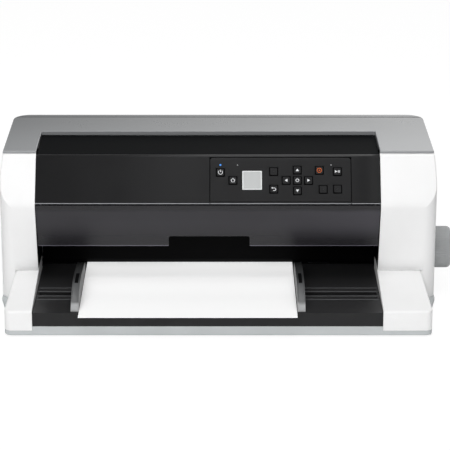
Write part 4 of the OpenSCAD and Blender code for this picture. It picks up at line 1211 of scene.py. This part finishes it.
@dataclass
class Console:
    """The slanted black panel with its keys, display and lamps."""

    crease: tuple[float, float] = CREASE
    lean: float = math.atan(SLOPE)
    top: float = 64.8
    x: tuple[float, float] = (-11.5, 186.0)
    cap: tuple[float, float] = (12.2, 12.4)
    proud: float = 0.8
    line: float = 0.78
    ends: tuple[float, float] = (-256.8, 227.5)
    pane_at: tuple[float, float] = (47.3, 32.9)
    pane_half: float = 13.75
    lamp_down: float = 10.5
    skin_top: float = 209.5

    keys: tuple[tuple[str, float, float, Icon], ...] = (
        ("key_power", 2.8, 21.3, Icon.POWER),
        ("key_home", 20.4, 33.2, Icon.HOME),
        ("key_source", 77.7, 20.2, Icon.BLANK),
        ("key_back", 77.7, 45.9, Icon.BACK),
        ("key_up", 110.9, 18.0, Icon.UP),
        ("key_ok", 110.9, 33.2, Icon.CONFIRM),
        ("key_left", 95.2, 33.2, Icon.LEFT),
        ("key_right", 126.6, 33.2, Icon.RIGHT),
        ("key_down", 110.9, 48.4, Icon.DOWN),
        ("key_cancel", 141.9, 18.5, Icon.CANCEL),
        ("key_pause", 167.2, 20.2, Icon.PAUSE),
        ("key_eject", 147.0, 46.3, Icon.BLANK),
        ("key_menu", 167.2, 45.9, Icon.BLANK),
    )

    def on_slope(self, x: float, down: float) -> Callable[[np.ndarray], np.ndarray]:
        """A function from (along, up the slope, out of it) round a place on the panel to the case."""
        c, s = math.cos(self.lean), math.sin(self.lean)

        def change(p: np.ndarray) -> np.ndarray:
            """Turns the points by the lean and puts them on the panel."""
            up, out = p[:, 1] + self.top - down, p[:, 2]
            y, z = self.crease[0] + up * c - out * s, self.crease[1] + up * s + out * c
            return np.stack([p[:, 0] + x, y, z], -1)

        return change

    def stroke(self, path: np.ndarray, width: float, high: float, mark: int, closed: bool = False) -> Shape:
        """A flat line of a width along a path, just standing out of the cap."""
        step = np.roll(path, -1, 0) - np.roll(path, 1, 0) if closed else np.gradient(path, axis=0)
        side = np.stack([-step[:, 1], step[:, 0]], -1) / np.linalg.norm(step, axis=1)[:, None] * width / 2
        levels = ((1, high - 0.1), (1, high), (-1, high), (-1, high - 0.1))
        rows = np.array([at_height(path + side * k, z) for k, z in levels])
        shape = Shape().grid(rows.transpose(1, 0, 2), mark, loop=True, ring=closed)
        if not closed:
            last = len(path) * 4
            base = shape.count - last
            shape.faces += [[base + i for i in (3, 2, 1, 0)], [base + last - 4 + i for i in range(4)]]
            shape.marks += [mark, mark]
        return shape

    def icon(self, kind: Icon, high: float) -> Shape:
        """The printed sign of a key, as thin strokes and plates on the cap's top."""
        w, shape = self.line, Shape()
        if kind is Icon.POWER:
            shape.join(self.stroke(arc((0, -0.2), 2.9, -232, 52, 28), w, high, 1))
            shape.join(self.stroke(np.array([[0.0, 0.4], [0.0, 1.9], [0.0, 3.6]]), w, high, 1))
        elif kind is Icon.HOME:
            roof = np.array([[-3.0, -0.1], [-1.5, 1.4], [0.0, 2.9], [1.5, 1.4], [3.0, -0.1]])
            walls = np.array([[-2.0, 0.6], [-2.0, -2.4], [-0.7, -2.4], [0.7, -2.4], [2.0, -2.4], [2.0, 0.6]])
            shape.join(self.stroke(roof, w, high, 1)).join(self.stroke(walls, w * 0.9, high + 0.01, 1))
        elif kind is Icon.BACK:
            bend = arc((0.9, -0.35), 1.9, 90, -90, 14)
            hook = np.vstack([[[-2.4, 1.5], [0.4, 1.5]], bend, [[-1.2, -2.25]]])
            head = np.array([[-3.4, 1.5], [-1.5, 0.1], [-1.5, 2.9]])
            shape.join(self.stroke(hook, w, high, 1)).plate(head, high - 0.1, high + 0.01, 1)
        elif kind in (Icon.UP, Icon.DOWN, Icon.LEFT, Icon.RIGHT):
            turn = {Icon.UP: 0.0, Icon.LEFT: 90.0, Icon.DOWN: 180.0, Icon.RIGHT: 270.0}[kind]
            a = math.radians(turn)
            tip = np.array([[-2.2, -1.7], [2.2, -1.7], [0.0, 2.2]])
            spin = np.array([[math.cos(a), math.sin(a)], [-math.sin(a), math.cos(a)]])
            shape.plate(tip @ spin, high - 0.1, high, 1)
        elif kind is Icon.CONFIRM:
            shape.join(self.stroke(arc((0, 0), 2.1, 0, 348, 29), w, high, 1, closed=True))
        elif kind is Icon.CANCEL:
            shape.join(self.stroke(arc((0, 0), 3.2, 0, 348, 29), w * 0.9, high, 1, closed=True))
            shape.plate(np.array([[-1.2, -0.9], [1.2, -0.9], [0.0, 1.2]]), high - 0.1, high, 1)
        elif kind is Icon.PAUSE:
            shape.plate(np.array([[-3.5, -2.0], [0.1, 0.0], [-3.5, 2.0]]), high - 0.1, high, 1)
            for x in (0.8, 2.6):
                shape.plate(rounded((x, x + 0.85), (-1.8, 1.8), [0.1] * 4, 2), high - 0.1, high, 1)
        return shape

    def key(self, bench: Bench, row: tuple[str, float, float, Icon]) -> None:
        """A key cap with a dished top, its flange and stem, and its sign; its side and outer edge are
        near-black, painted shade of the gap round the key.
        """
        name, x, down, kind = row
        half_x, half_y = self.cap[0] / 2, self.cap[1] / 2
        low = [(0.0, -1.9), (0.0, self.proud - 0.75), (0.2, self.proud - 0.55), (1.2, self.proud - 0.5)]
        pad = [(1.2, -0.5), (1.2, self.proud - 0.2), (1.42, self.proud), (2.4, self.proud - 0.05)]
        pad += [(3.6, self.proud - 0.1), (5.6, self.proud - 0.13)]
        shape = Shape()
        # the side and outer edge (mark 2) take the near-black finish: painted shade in the gap round the key
        for rows, mark in ((low, 2), (pad, 0)):
            sections = []
            for inset, z in rows:
                x_span, y_span = (-half_x + inset, half_x - inset), (-half_y + inset, half_y - inset)
                line = rounded(x_span, y_span, [1.2] * 4, 5)
                sections.append(at_height(line, z))
            shape.loft(np.array(sections), mark)
        flange_x, flange_y = (-half_x - 0.9, half_x + 0.9), (-half_y - 0.9, half_y + 0.9)
        shape.join(slab(flange_x, flange_y, (-3.0, -1.9), 1.2, 0.2, 0.2))
        stem = [(-5.2, 0.0), (-5.2, 1.7), (-4.9, 2.0), (-3.0, 2.0), (-3.0, 0.0)]
        shape.join(turned(stem, 24).moved(upright(0, 0, 0)))
        shape.join(self.icon(kind, self.proud - 0.06))
        ink = Finishes.MARK_ORANGE if kind is Icon.CANCEL else Finishes.MARK
        finishes = [Finishes.KEY, ink, Finishes.BLACK_AND_PAINTED_SHADE]
        bench.make(f"{name}_cap", shape.moved(self.on_slope(x, down)), name, finishes, angle=40)

    def build(self, bench: Bench) -> None:
        """Makes the panel, its keys, its display, its lamps and the painted highlight at the crease."""
        self.skin(bench)
        self.keyboard(bench)
        bench.dress("control_board", Finishes.BOARD)
        for row in self.keys:
            self.key(bench, row)
        place = self.on_slope(*self.pane_at)
        half = self.pane_half
        pane = slab((-half, half), (-half, half), (-6.8, -0.55), 0.5, 0.1)
        outer = rounded((-half, half), (-half, half), [0.6] * 4, 4)
        inner = rounded((-half + 1.5, half - 1.5), (-half + 1.5, half - 1.5), [0.4] * 4, 4)
        levels = ((inner, -0.56), (inner, -0.2), (outer, -0.1), (outer, -0.56))
        rim = [at_height(line, z) for line, z in levels]
        frame = Shape().grid(np.array(rim), 1, loop=True, ring=True)
        window = pane.join(frame).moved(place)
        bench.make("display_window", window, "display", [Finishes.PANE, Finishes.DISPLAY_RIM])
        self.lamps(bench)
        self.paint_crease_highlight(bench)

    def skin(self, bench: Bench) -> None:
        """The slanted black front, from its lip under the crease to the round edge at its top.

        A profile of distances and heights is swept along x. The round edge of radius 4 has its middle at
        y = 132 + (z - 152.4) / tan(lean) + 4 / sin(lean), z = 205.5. Between two columns the profile sinks
        1.5 mm along the slope's normal, to hold the key panel, and a window is left open in that floor.
        """
        c, s, r = math.cos(self.lean), math.sin(self.lean), 4.0
        top = self.skin_top
        up = np.array([0.0, 0.3, 0.4, 6.0, 58.0, 65.7, 65.8])
        slope = np.stack([self.crease[0] + up * c, self.crease[1] + up * s], -1)
        middle = (self.crease[0] + (top - r - self.crease[1]) * c / s + r / s, top - r)
        crown = arc(middle, r, 90 + math.degrees(self.lean), 90, 8)
        lip = [[135.6, 149.4], [131.6, 149.3], [131.25, 149.6], [131.2, 150.0]]
        tail = [[174.4, top], [174.5, top - 0.1], [174.5, top - 3.0]]
        profile = np.vstack([lip, slope, crown, tail])
        x = np.array([self.ends[0], self.x[0] - 1.1, self.x[0] - 1.0, -5.5, 180.0, self.x[1] + 1.0,
                      self.x[1] + 1.1, self.ends[1]])
        points = np.stack([np.stack([x, np.full(8, y), np.full(8, z)], -1) for y, z in profile])
        first = len(lip)
        sunk = np.zeros(points.shape[:2], bool)
        sunk[first + 2:first + 6, 2:6] = True
        points[sunk] += np.array([0.0, s, -c]) * 1.5
        keep = np.ones((len(profile) - 1, 7), bool)
        keep[first + 3, 3] = False
        # painted shade: the pocket's walls and floor round the key panel take the near-black finish
        groove = np.zeros_like(keep)
        groove[first + 1:first + 6, 1:6] = True
        shape = Shape().cells(points, keep & ~groove).cells(points, keep & groove, 1)
        finishes = [Finishes.PANEL, Finishes.BLACK_AND_PAINTED_SHADE]
        bench.make("front_panel_skin", shape, "front_panel", finishes, wall=1.4, closed=False, angle=40)

    def keyboard(self, bench: Bench) -> None:
        """The key panel: a plate with a hole for each key and for the display, cut on a grid of lines.

        Every hole's edges are lines of the grid, and the cells between them are left out. Near its sides
        the plate's upper edge falls by 4 - sqrt(16 - (4 - d)^2) at a distance d from the side.
        """
        hole_x, hole_up = self.cap[0] / 2 + 0.42, self.cap[1] / 2 + 0.42
        holes = [(x, self.top - down, hole_x, hole_up) for _, x, down, _ in self.keys]
        pane_hole = self.pane_half + 0.2
        holes.append((self.pane_at[0], self.top - self.pane_at[1], pane_hole, pane_hole))
        left, right = self.x
        near = np.array([0.0, 0.3, 1.0, 2.2, 4.0])
        x = np.concatenate([left + near, right - near, *[[h[0] - h[2], h[0] + h[2]] for h in holes]])
        levels = [0.85, 1.2, self.top - 4.2, self.top]
        up = np.concatenate([levels, *[[h[1] - h[3], h[1] + h[3]] for h in holes]])
        x, up = np.unique(np.round(x, 3)), np.unique(np.round(up, 3))
        mid_x, mid_up = (x[1:] + x[:-1]) / 2, (up[1:] + up[:-1]) / 2
        keep = np.ones((len(up) - 1, len(x) - 1), bool)
        for hx, hu, half_x, half_up in holes:
            keep &= ~((abs(mid_up - hu) < half_up)[:, None] & (abs(mid_x - hx) < half_x)[None, :])
        side = np.clip(np.minimum(x - left, right - x), 0.0, 4.0)
        fall = 4.0 - np.sqrt(16.0 - (4.0 - side) ** 2)
        grid_up = up[:, None] - fall[None, :] * (up == up[-1])[:, None]
        points = np.stack([x[None, :] + 0 * grid_up, grid_up, 0 * grid_up - 0.03], -1)
        shape = Shape().cells(points, keep).moved(self.on_slope(0.0, self.top))
        looks = [Finishes.KEYPAD]
        bench.make("key_panel_plate", shape, "control_panel", looks, wall=1.2, closed=False, bevel=0.22)

    def lamps(self, bench: Bench) -> None:
        """A lit lens over the power key and two small printed marks."""
        lens = turned([(-0.5, 1.4), (0.0, 1.4), (0.25, 1.2), (0.42, 0.8), (0.5, 0.4), (0.52, 0.0)], 28)
        lens = lens.moved(upright(0, 0, 0)).moved(self.on_slope(2.8, self.lamp_down))
        bench.make("power_lamp", lens, "control_panel", [Finishes.LED], stands_for=False, closed=False)
        marks = Shape()
        for x in (27.0, 158.4):
            dot = Shape().plate(arc((0, 0), 0.55, 0, 345, 23), -0.05, 0.05)
            marks.join(dot.moved(self.on_slope(x, self.lamp_down)))
        bench.make("status_marks", marks, "control_panel", [Finishes.MARK], stands_for=False)

    def paint_crease_highlight(self, bench: Bench) -> None:
        """A painted highlight along the crease: a light grey half-round bead swept along x."""
        bead = Shape()
        a = np.radians(np.linspace(0, 360, 13)[:-1])
        y, z = self.crease[0] - 0.75 + 0.6 * np.cos(a), self.crease[1] - 2.1 + 0.6 * np.sin(a)
        for x0, x1 in ((-256.6, -12.4), (-11.2, 185.7), (186.9, 227.3)):
            ends = np.array([np.stack([np.full(12, x), y, z], -1) for x in (x0, x1)])
            bead.loft(ends)
        bench.make("crease_highlight_bead", bead, "front_panel", [Finishes.CREASE_HIGHLIGHT], stands_for=False)


# ------------------------------------------------------------------ covers


@dataclass
class Covers:
    """The top lid and the smoke front cover."""

    left: float = -256.6
    right: float = 227.3
    top: tuple[float, float] = (131.5, 147.5)
    low_z: float = 86.0
    lean: float = 5.0
    thick: float = 2.8
    notch: tuple[float, float] = (-70.0, 44.0)
    notch_top: float = 101.0
    brow_z: float = BROW_Z
    taper: float = 1.755

    def cover(self, bench: Bench) -> None:
        """The smoke sheet: its outline of x and height, with a round-cornered grip notch, leans back."""
        r, n0, n1, top = 3.0, self.notch[0], self.notch[1], self.notch_top
        foot_l, foot_r = self.left + self.taper, self.right - self.taper
        line = np.vstack([
            [[self.left, self.top[1]], [self.left, self.brow_z]],
            arc((foot_l + 1.6, self.low_z + 1.6), 1.6, 180, 270, 5),
            arc((n0 - 1.2, self.low_z + 1.2), 1.2, 270, 360, 4),
            arc((n0 + r, top - r), r, 180, 90, 6),
            arc((n1 - r, top - r), r, 90, 0, 6),
            arc((n1 + 1.2, self.low_z + 1.2), 1.2, 180, 270, 4),
            arc((foot_r - 1.6, self.low_z + 1.6), 1.6, 270, 360, 5),
            [[self.right, self.brow_z], [self.right, self.top[1]]],
        ])
        down = (self.top[1] - line[:, 1]) / (self.top[1] - self.low_z)
        y = self.top[0] + self.lean * down
        sheets = [np.stack([line[:, 0], y + t, line[:, 1]], -1) for t in (0.0, self.thick)]
        shape = Shape().loft(np.array(sheets))
        pivot = (134.5, 144.8)
        for x in (self.left, self.right - 8.0):
            knuckle = turned([(0, 0), (0, 2.3), (0.4, 2.7), (7.6, 2.7), (8, 2.3), (8, 0)], 32)
            shape.join(knuckle.moved(shift(x, *pivot)))
        for x0, x1 in ((self.left - 2.9, self.left + 1), (self.right - 1, self.right + 2.9)):
            shape.join(turned([(x0, 0), (x0, 1.9), (x1, 1.9), (x1, 0)], 24).moved(shift(0, *pivot)))
        bench.make("smoke_cover_sheet", shape, "front_cover", [Finishes.SMOKE], bevel=0.35)

    def build(self, bench: Bench) -> None:
        """Makes both covers."""
        bench.refine("top_lid", Finishes.LID, 0.5, [Rounding((-300, 174, 207), (300, 178, 210), 1.6)])
        self.cover(bench)


# ------------------------------------------------------------------ tray, guides and sheet


@dataclass
class Bed:
    """The tray with its guides, the sheet on it and the paper path behind."""

    tray_z: float = TRAY_Z
    guide_w: float = 10.8
    guide_y: tuple[float, float] = (4.0, 168.0)
    crest: float = 70.0
    rise: float = 27.0
    guides: tuple[tuple[str, float], ...] = (("edge_guide_left", -201.2), ("edge_guide_right", 107.8))

    def guide_top(self, y: np.ndarray) -> np.ndarray:
        """Height of a guide's back over its foot: an ellipse up to the crest, then a long fall."""
        y0, y1 = self.guide_y
        up = np.sqrt(np.clip(1 - ((self.crest - y) / (self.crest - y0)) ** 2, 0, 1))
        down = np.clip((y - self.crest) / (y1 - 4 - self.crest), 0, 1)
        return np.where(y < self.crest, self.rise * up, self.rise - 10 * down**1.5)

    def guide(self, bench: Bench, node: str, x0: float) -> None:
        """An edge guide: a swept section with a raised rim along each edge of its back."""
        y0, y1 = self.guide_y
        turn = np.linspace(0, np.pi / 2, 16)
        rising = self.crest - (self.crest - y0 - 0.02) * np.cos(turn)
        along = np.concatenate([rising, np.linspace(74, y1 - 4, 26)])
        height = self.guide_top(along)
        foot = self.tray_z + 0.3
        w = self.guide_w
        # across the back: side, rim, hollow, rim, side, as (distance across, depth below the back)
        across = np.array([(0, 99), (0, 0.9), (0.25, 0.25), (0.8, 0.0), (1.3, 0.12), (1.7, 0.75), (2.2, 0.9),
                           (w - 2.2, 0.9), (w - 1.7, 0.75), (w - 1.3, 0.12), (w - 0.8, 0.0), (w - 0.25, 0.25),
                           (w, 0.9), (w, 99)])
        x = x0 + across[:, 0][None, :] + 0 * along[:, None]
        z = np.maximum(foot + height[:, None] - across[:, 1][None, :], foot)
        y = along[:, None] + 0 * x
        sections = np.stack([x, y, z], -1)
        last = sections[-1:].copy()
        last[:, :, 1] = y1
        last[:, :, 2] = np.minimum(last[:, :, 2], foot + self.rise - 13.5)
        body = Shape().loft(np.concatenate([sections, last]))
        # the window: a strip of its own finish on the floor of the hollow back, near-black as painted shade
        # in place of the window's opening
        s0, s1 = self.guide_y[0] + 47, self.guide_y[0] + 87
        ys = np.linspace(s0, s1, 12)
        top = foot + self.guide_top(ys)
        sides = (x0 + w / 4 + 0.3, x0 + 3 * w / 4 - 0.3)
        lip = np.stack([np.stack([np.full(12, x_side), ys, top - 0.86], -1) for x_side in sides], 1)
        body.add(lip.reshape(-1, 3), [[2 * i, 2 * i + 1, 2 * i + 3, 2 * i + 2] for i in range(11)], 1)
        neck = slab((x0, x0 + w), (74.3, 83.7), (29.4, self.tray_z + 1.3), 0.5, 0.0, 0.0)
        hook = slab((x0, x0 + w), (70.0, 88.0), (29.4, 32.5), 0.8, 0.3, 0.3)
        finish = GuideMoulding(f"{node}_grey", crest=float(CASE_ORIGIN[1]) + 11.0)
        bench.make(f"{node}_rail", body.join(neck).join(hook), node, [finish, Finishes.BLACK_AND_PAINTED_SHADE], angle=38)

    def ridges(self, bench: Bench) -> None:
        """Low ridges across the tray beside its grooves, lighter grey as a painted highlight: flat arcs, 0.22
        mm high, swept along x.
        """
        shape = Shape()
        rise = np.linspace(-1, 1, 7)
        for y in (54.0, 68.0, 86.5, 101.0):
            line = np.stack([y + 0.75 * rise, self.tray_z + 0.22 * (1 - rise**2) - 0.01], -1)
            line = np.vstack([line, [[y + 0.75, self.tray_z - 0.3], [y - 0.75, self.tray_z - 0.3]]])
            rows = [np.stack([np.full(len(line), x), line[:, 0], line[:, 1]], -1) for x in (-252.0, 222.5)]
            shape.loft(np.array(rows))
        bench.make("tray_ridges", shape, "tray", [Finishes.RIDGE_HIGHLIGHT], stands_for=False)

    def build(self, bench: Bench) -> None:
        """Makes the tray, the guides and the sheet's path."""
        bench.refine("tray", Finishes.TRAY, 0.45, [Rounding((-300, -1, 34), (300, 1, 37), 1.8)], segments=4)
        self.ridges(bench)
        for node, x0 in self.guides:
            self.guide(bench, node, x0)
        bench.dress("sheet", Finishes.PAPER)
        for node in ("lower_paper_guide", "upper_paper_guide"):
            bench.dress(node, Finishes.BLACK_AND_PAINTED_SHADE)
        bench.dress("platen", Finishes.PLATEN_STEEL)


# ------------------------------------------------------------------ feed train


@dataclass
class FeedTrain:
    """The side knob, the rollers and the gears."""

    at: tuple[float, float] = (213.0, 59.5)
    x: tuple[float, float] = (308.0, 335.0)
    radius: float = 30.0
    ribs: int = 60

    def knob(self, bench: Bench) -> None:
        """The knob: a drum with fine ribs that fade towards both ends, a round rim and a dished end."""
        x0, x1, r = self.x[0], self.x[1], self.radius
        profile = [(x0 - 9, 4.1), (x0 - 9, 9.0), (x0, 9.0)]
        profile += [(x0 + d, r - f) for d, f in ((0, 2.0), (0.5, 1.0), (1.4, 0.4), (3, 0.25), (4, 0.2))]
        profile += [(x, r - 0.2) for x in np.linspace(x0 + 6, x1 - 6, 6)]
        rim = ((4.5, 0.25), (3, 0.6), (1.5, 1.6), (0.5, 3.0), (0, 5), (0.2, 7), (1.6, 9), (2.2, 14))
        profile += [(x1 - d, r - f) for d, f in rim]
        profile += [(x1 - 2.0, 6.0), (x1 - 1.2, 0.0)]

        def ribbing(a: np.ndarray, p: np.ndarray) -> np.ndarray:
            """Ribs of 0.2 mm: a cosine round the drum, faded out towards its ends."""
            fade = np.clip((p[:, 0:1] - x0 - 3) / 2, 0, 1) * np.clip((x1 - 4 - p[:, 0:1]) / 2, 0, 1)
            return 0.2 * fade * np.cos(self.ribs * a) * (p[:, 1:2] > r - 1)

        shape = turned(profile, self.ribs * 6, ribbing).moved(shift(0, *self.at))
        bench.make("feed_knob", shape, "knob", [Finishes.KNOB], angle=45)

    def build(self, bench: Bench) -> None:
        """Makes the knob and dresses the train."""
        self.knob(bench)
        for node in ("front_roller", "rear_roller", "front_pinch_roller", "rear_pinch_roller", "guide_shaft"):
            bench.dress(node, Finishes.BRIGHT_STEEL)
        for node in ("knob_gear", "idler_gear"):
            bench.dress(node, Finishes.ACETAL)
        bench.dress("feed_pinion", Finishes.BRASS)
        bench.refine("feed_motor", Finishes.MOTOR, 0.6)


# ------------------------------------------------------------------ inner frame, carriage, electronics


@dataclass
class Works:
    """The steel frame, the carriage with its drive, the ribbon and the electronics."""

    board_z: float = 10.0

    def board(self, bench: Bench) -> None:
        """The main board with its chips, capacitors, coil and rear sockets."""
        z = self.board_z
        shape = slab((-190, 195), (322, 392), (z, z + 1.6), 1.5, 0.1)
        for x in (-184, 0, 189):
            for y in (328, 386):
                shape.join(slab((x - 3, x + 3), (y - 3, y + 3), (7.5, z), 2.9, 0.1, mark=3))
        for x in (-160, -110, -60, 110, 150):
            shape.join(slab((x, x + 24), (335, 359), (z + 1.8, z + 5), 0.4, 0.3, mark=1))
            for side in (333.6, 359.0):
                for k in range(10):
                    pin = x + 1.6 + k * 2.3
                    pin_x, pin_y = (pin, pin + 0.9), (side, side + 1.4)
                    shape.join(slab(pin_x, pin_y, (z + 1.5, z + 2.6), 0.1, 0.2, steps=1, mark=3))
        can_profile = [(0, 0), (0, 4.7), (0.5, 5), (2, 4.8), (2.4, 5), (9.6, 5), (10.2, 4.6), (10.4, 0)]
        for x in (-170, -140, 170):
            can = turned(can_profile, 32)
            can.marks = [2] * len(can.faces)
            shape.join(can.moved(upright(x, 376, z + 1.6)))
        shape.join(slab((-10, 48), (384, 401.5), (z + 1.6, z + 14), 1.2, 0.6, mark=4))
        shape.join(slab((60, 72), (384, 401.5), (z + 1.6, z + 12.6), 0.6, 0.4, mark=3))
        finishes = [Finishes.BOARD, Finishes.CHIP, Finishes.CARTRIDGE]
        finishes += [Finishes.SHEET_STEEL, Finishes.IVORY_PORT]
        bench.make("main_board_parts", shape, "main_board", finishes)

    def build(self, bench: Bench) -> None:
        """Refines and dresses what lies inside."""
        for node in ("frame_plate_left", "frame_plate_right", "base_plate", "head_rail"):
            bench.refine(node, Finishes.SHEET_STEEL, 0.25, segments=2)
        bench.refine("carriage", Finishes.CARTRIDGE, 0.5)
        bench.refine("print_head", Finishes.HEAD_METAL, 0.35, segments=2)
        bench.refine("carriage_motor", Finishes.MOTOR, 0.6)
        for node in ("drive_pulley", "tension_pulley"):
            bench.dress(node, Finishes.ALLOY)
        bench.dress("timing_belt", Finishes.RUBBER)
        bench.refine("ribbon_cartridge", Finishes.CARTRIDGE, 0.6)
        bench.refine("ribbon_knob", Finishes.BLUE, 0.4)
        bench.refine("power_supply", Finishes.SHEET_STEEL, 0.6)
        bench.refine("power_inlet", Finishes.SOCKET, 0.5)
        self.board(bench)


# ------------------------------------------------------------------ studio


@dataclass
class Studio:
    """Floor, lamps, world and camera."""

    camera_at: Triple = (-14.47, -2967.0, 1063.5)
    pitch: float = 18.0
    lens: float = 174.1
    shift_x: float = 7.0 / 450.0

    def camera(self) -> None:
        """The photograph's camera, looking down along +Y."""
        data = bpy.data.cameras.new("camera")
        data.lens, data.sensor_width, data.shift_x = self.lens, 36.0, self.shift_x
        data.clip_start, data.clip_end = 0.05, 60.0
        camera = placed("camera", data)
        camera.location = Vector(self.camera_at) / MM
        camera.rotation_euler = (math.radians(90.0 - self.pitch), 0.0, 0.0)
        bpy.context.scene.camera = camera

    def floor(self) -> None:
        """A pale floor that stays white to the camera but keeps a soft shadow."""
        material = bpy.data.materials.new("studio_floor")
        shader = Shader(material)
        path = shader.node("ShaderNodeLightPath", output="Is Camera Ray")
        paper = shader.noise(0.002, 1.0)
        colour = shader.mix(paper, (0.9, 0.9, 0.9, 1.0), (0.92, 0.92, 0.92, 1.0))
        plain = shader.node("ShaderNodeBsdfDiffuse", None, {"Color": colour})
        white = shader.node("ShaderNodeEmission", None, {"Color": (1.0, 1.0, 1.0, 1.0), "Strength": 1.1})
        mixed = shader.node("ShaderNodeMixShader", None, {0: path * 0.82, 1: plain, 2: white})
        shader.node("ShaderNodeOutputMaterial", None, {"Surface": mixed})
        mesh = bpy.data.meshes.new("floor")
        s = 14.0
        mesh.from_pydata([(-s, -s, 0), (s, -s, 0), (s, s, 0), (-s, s, 0)], [], [(0, 1, 2, 3)])
        mesh.materials.append(material)
        placed("floor", mesh)

    def lamp(
        self, name: str, at: Triple, target: Triple, size: tuple[float, float], watts: float
    ) -> bpy.types.Object:
        """A rectangular soft lamp that faces a point."""
        data = bpy.data.lights.new(name, "AREA")
        data.shape, data.size, data.size_y, data.energy = "RECTANGLE", size[0], size[1], watts
        lamp = placed(name, data)
        lamp.location = at
        lamp.rotation_mode = "QUATERNION"
        lamp.rotation_quaternion = (Vector(at) - Vector(target)).to_track_quat("Z", "Y")
        return lamp

    def world(self) -> None:
        """White to the camera, weaker from the sides; in gloss dark on the left, bright on the right."""
        world = bpy.data.worlds.new("studio")
        bpy.context.scene.world = world
        shader = Shader(world)

        def ray(kind: str) -> Socket:
            """1 for rays of a kind, else 0."""
            return shader.node("ShaderNodeLightPath", output=f"Is {kind} Ray")

        way = shader.node("ShaderNodeTexCoord", output="Generated")
        across = shader.node("ShaderNodeSeparateXYZ", None, {0: way}, "X")
        behind = shader.node("ShaderNodeSeparateXYZ", None, {0: way}, "Y")
        matt = (0.62 - across * across * 0.85).clamped()
        gloss = (across * 4.4 + 0.55).clamped() * ((behind + 0.2) * 5.0).clamped() * 1.3 + 0.12
        seen = (ray("Camera") + ray("Transmission")).clamped()
        shiny = ray("Glossy")
        level = gloss * shiny + matt * (1.0 - shiny)
        back = shader.node("ShaderNodeBackground", None, {"Strength": level * (1.0 - seen) + seen})
        shader.node("ShaderNodeOutputWorld", None, {"Surface": back})

    def build(self) -> None:
        """Sets up everything round the printer."""
        self.camera()
        self.floor()
        self.lamp("front_softbox", (-0.4, -2.9, 1.9), (0, 0, 0.1), (2.2, 1.2), 52.0).visible_glossy = False
        self.lamp("top_softbox", (-0.2, -0.1, 2.5), (0, 0, 0.1), (1.6, 2.0), 24.0)
        self.world()
        bpy.context.scene.view_settings.view_transform = "Standard"


def main() -> None:
    """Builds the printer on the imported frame."""
    logging.basicConfig(level=logging.INFO, format="%(name)s: %(message)s")
    bench = Bench(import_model())
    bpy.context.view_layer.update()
    Studio().build()
    for part in (Casing(), Console(), Covers(), Bed(), FeedTrain(), Works()):
        LOG.info("building %s", type(part).__name__)
        part.build(bench)
    LOG.info("%d pieces made", len(bench.made))


if __name__ == "__main__":
    main()
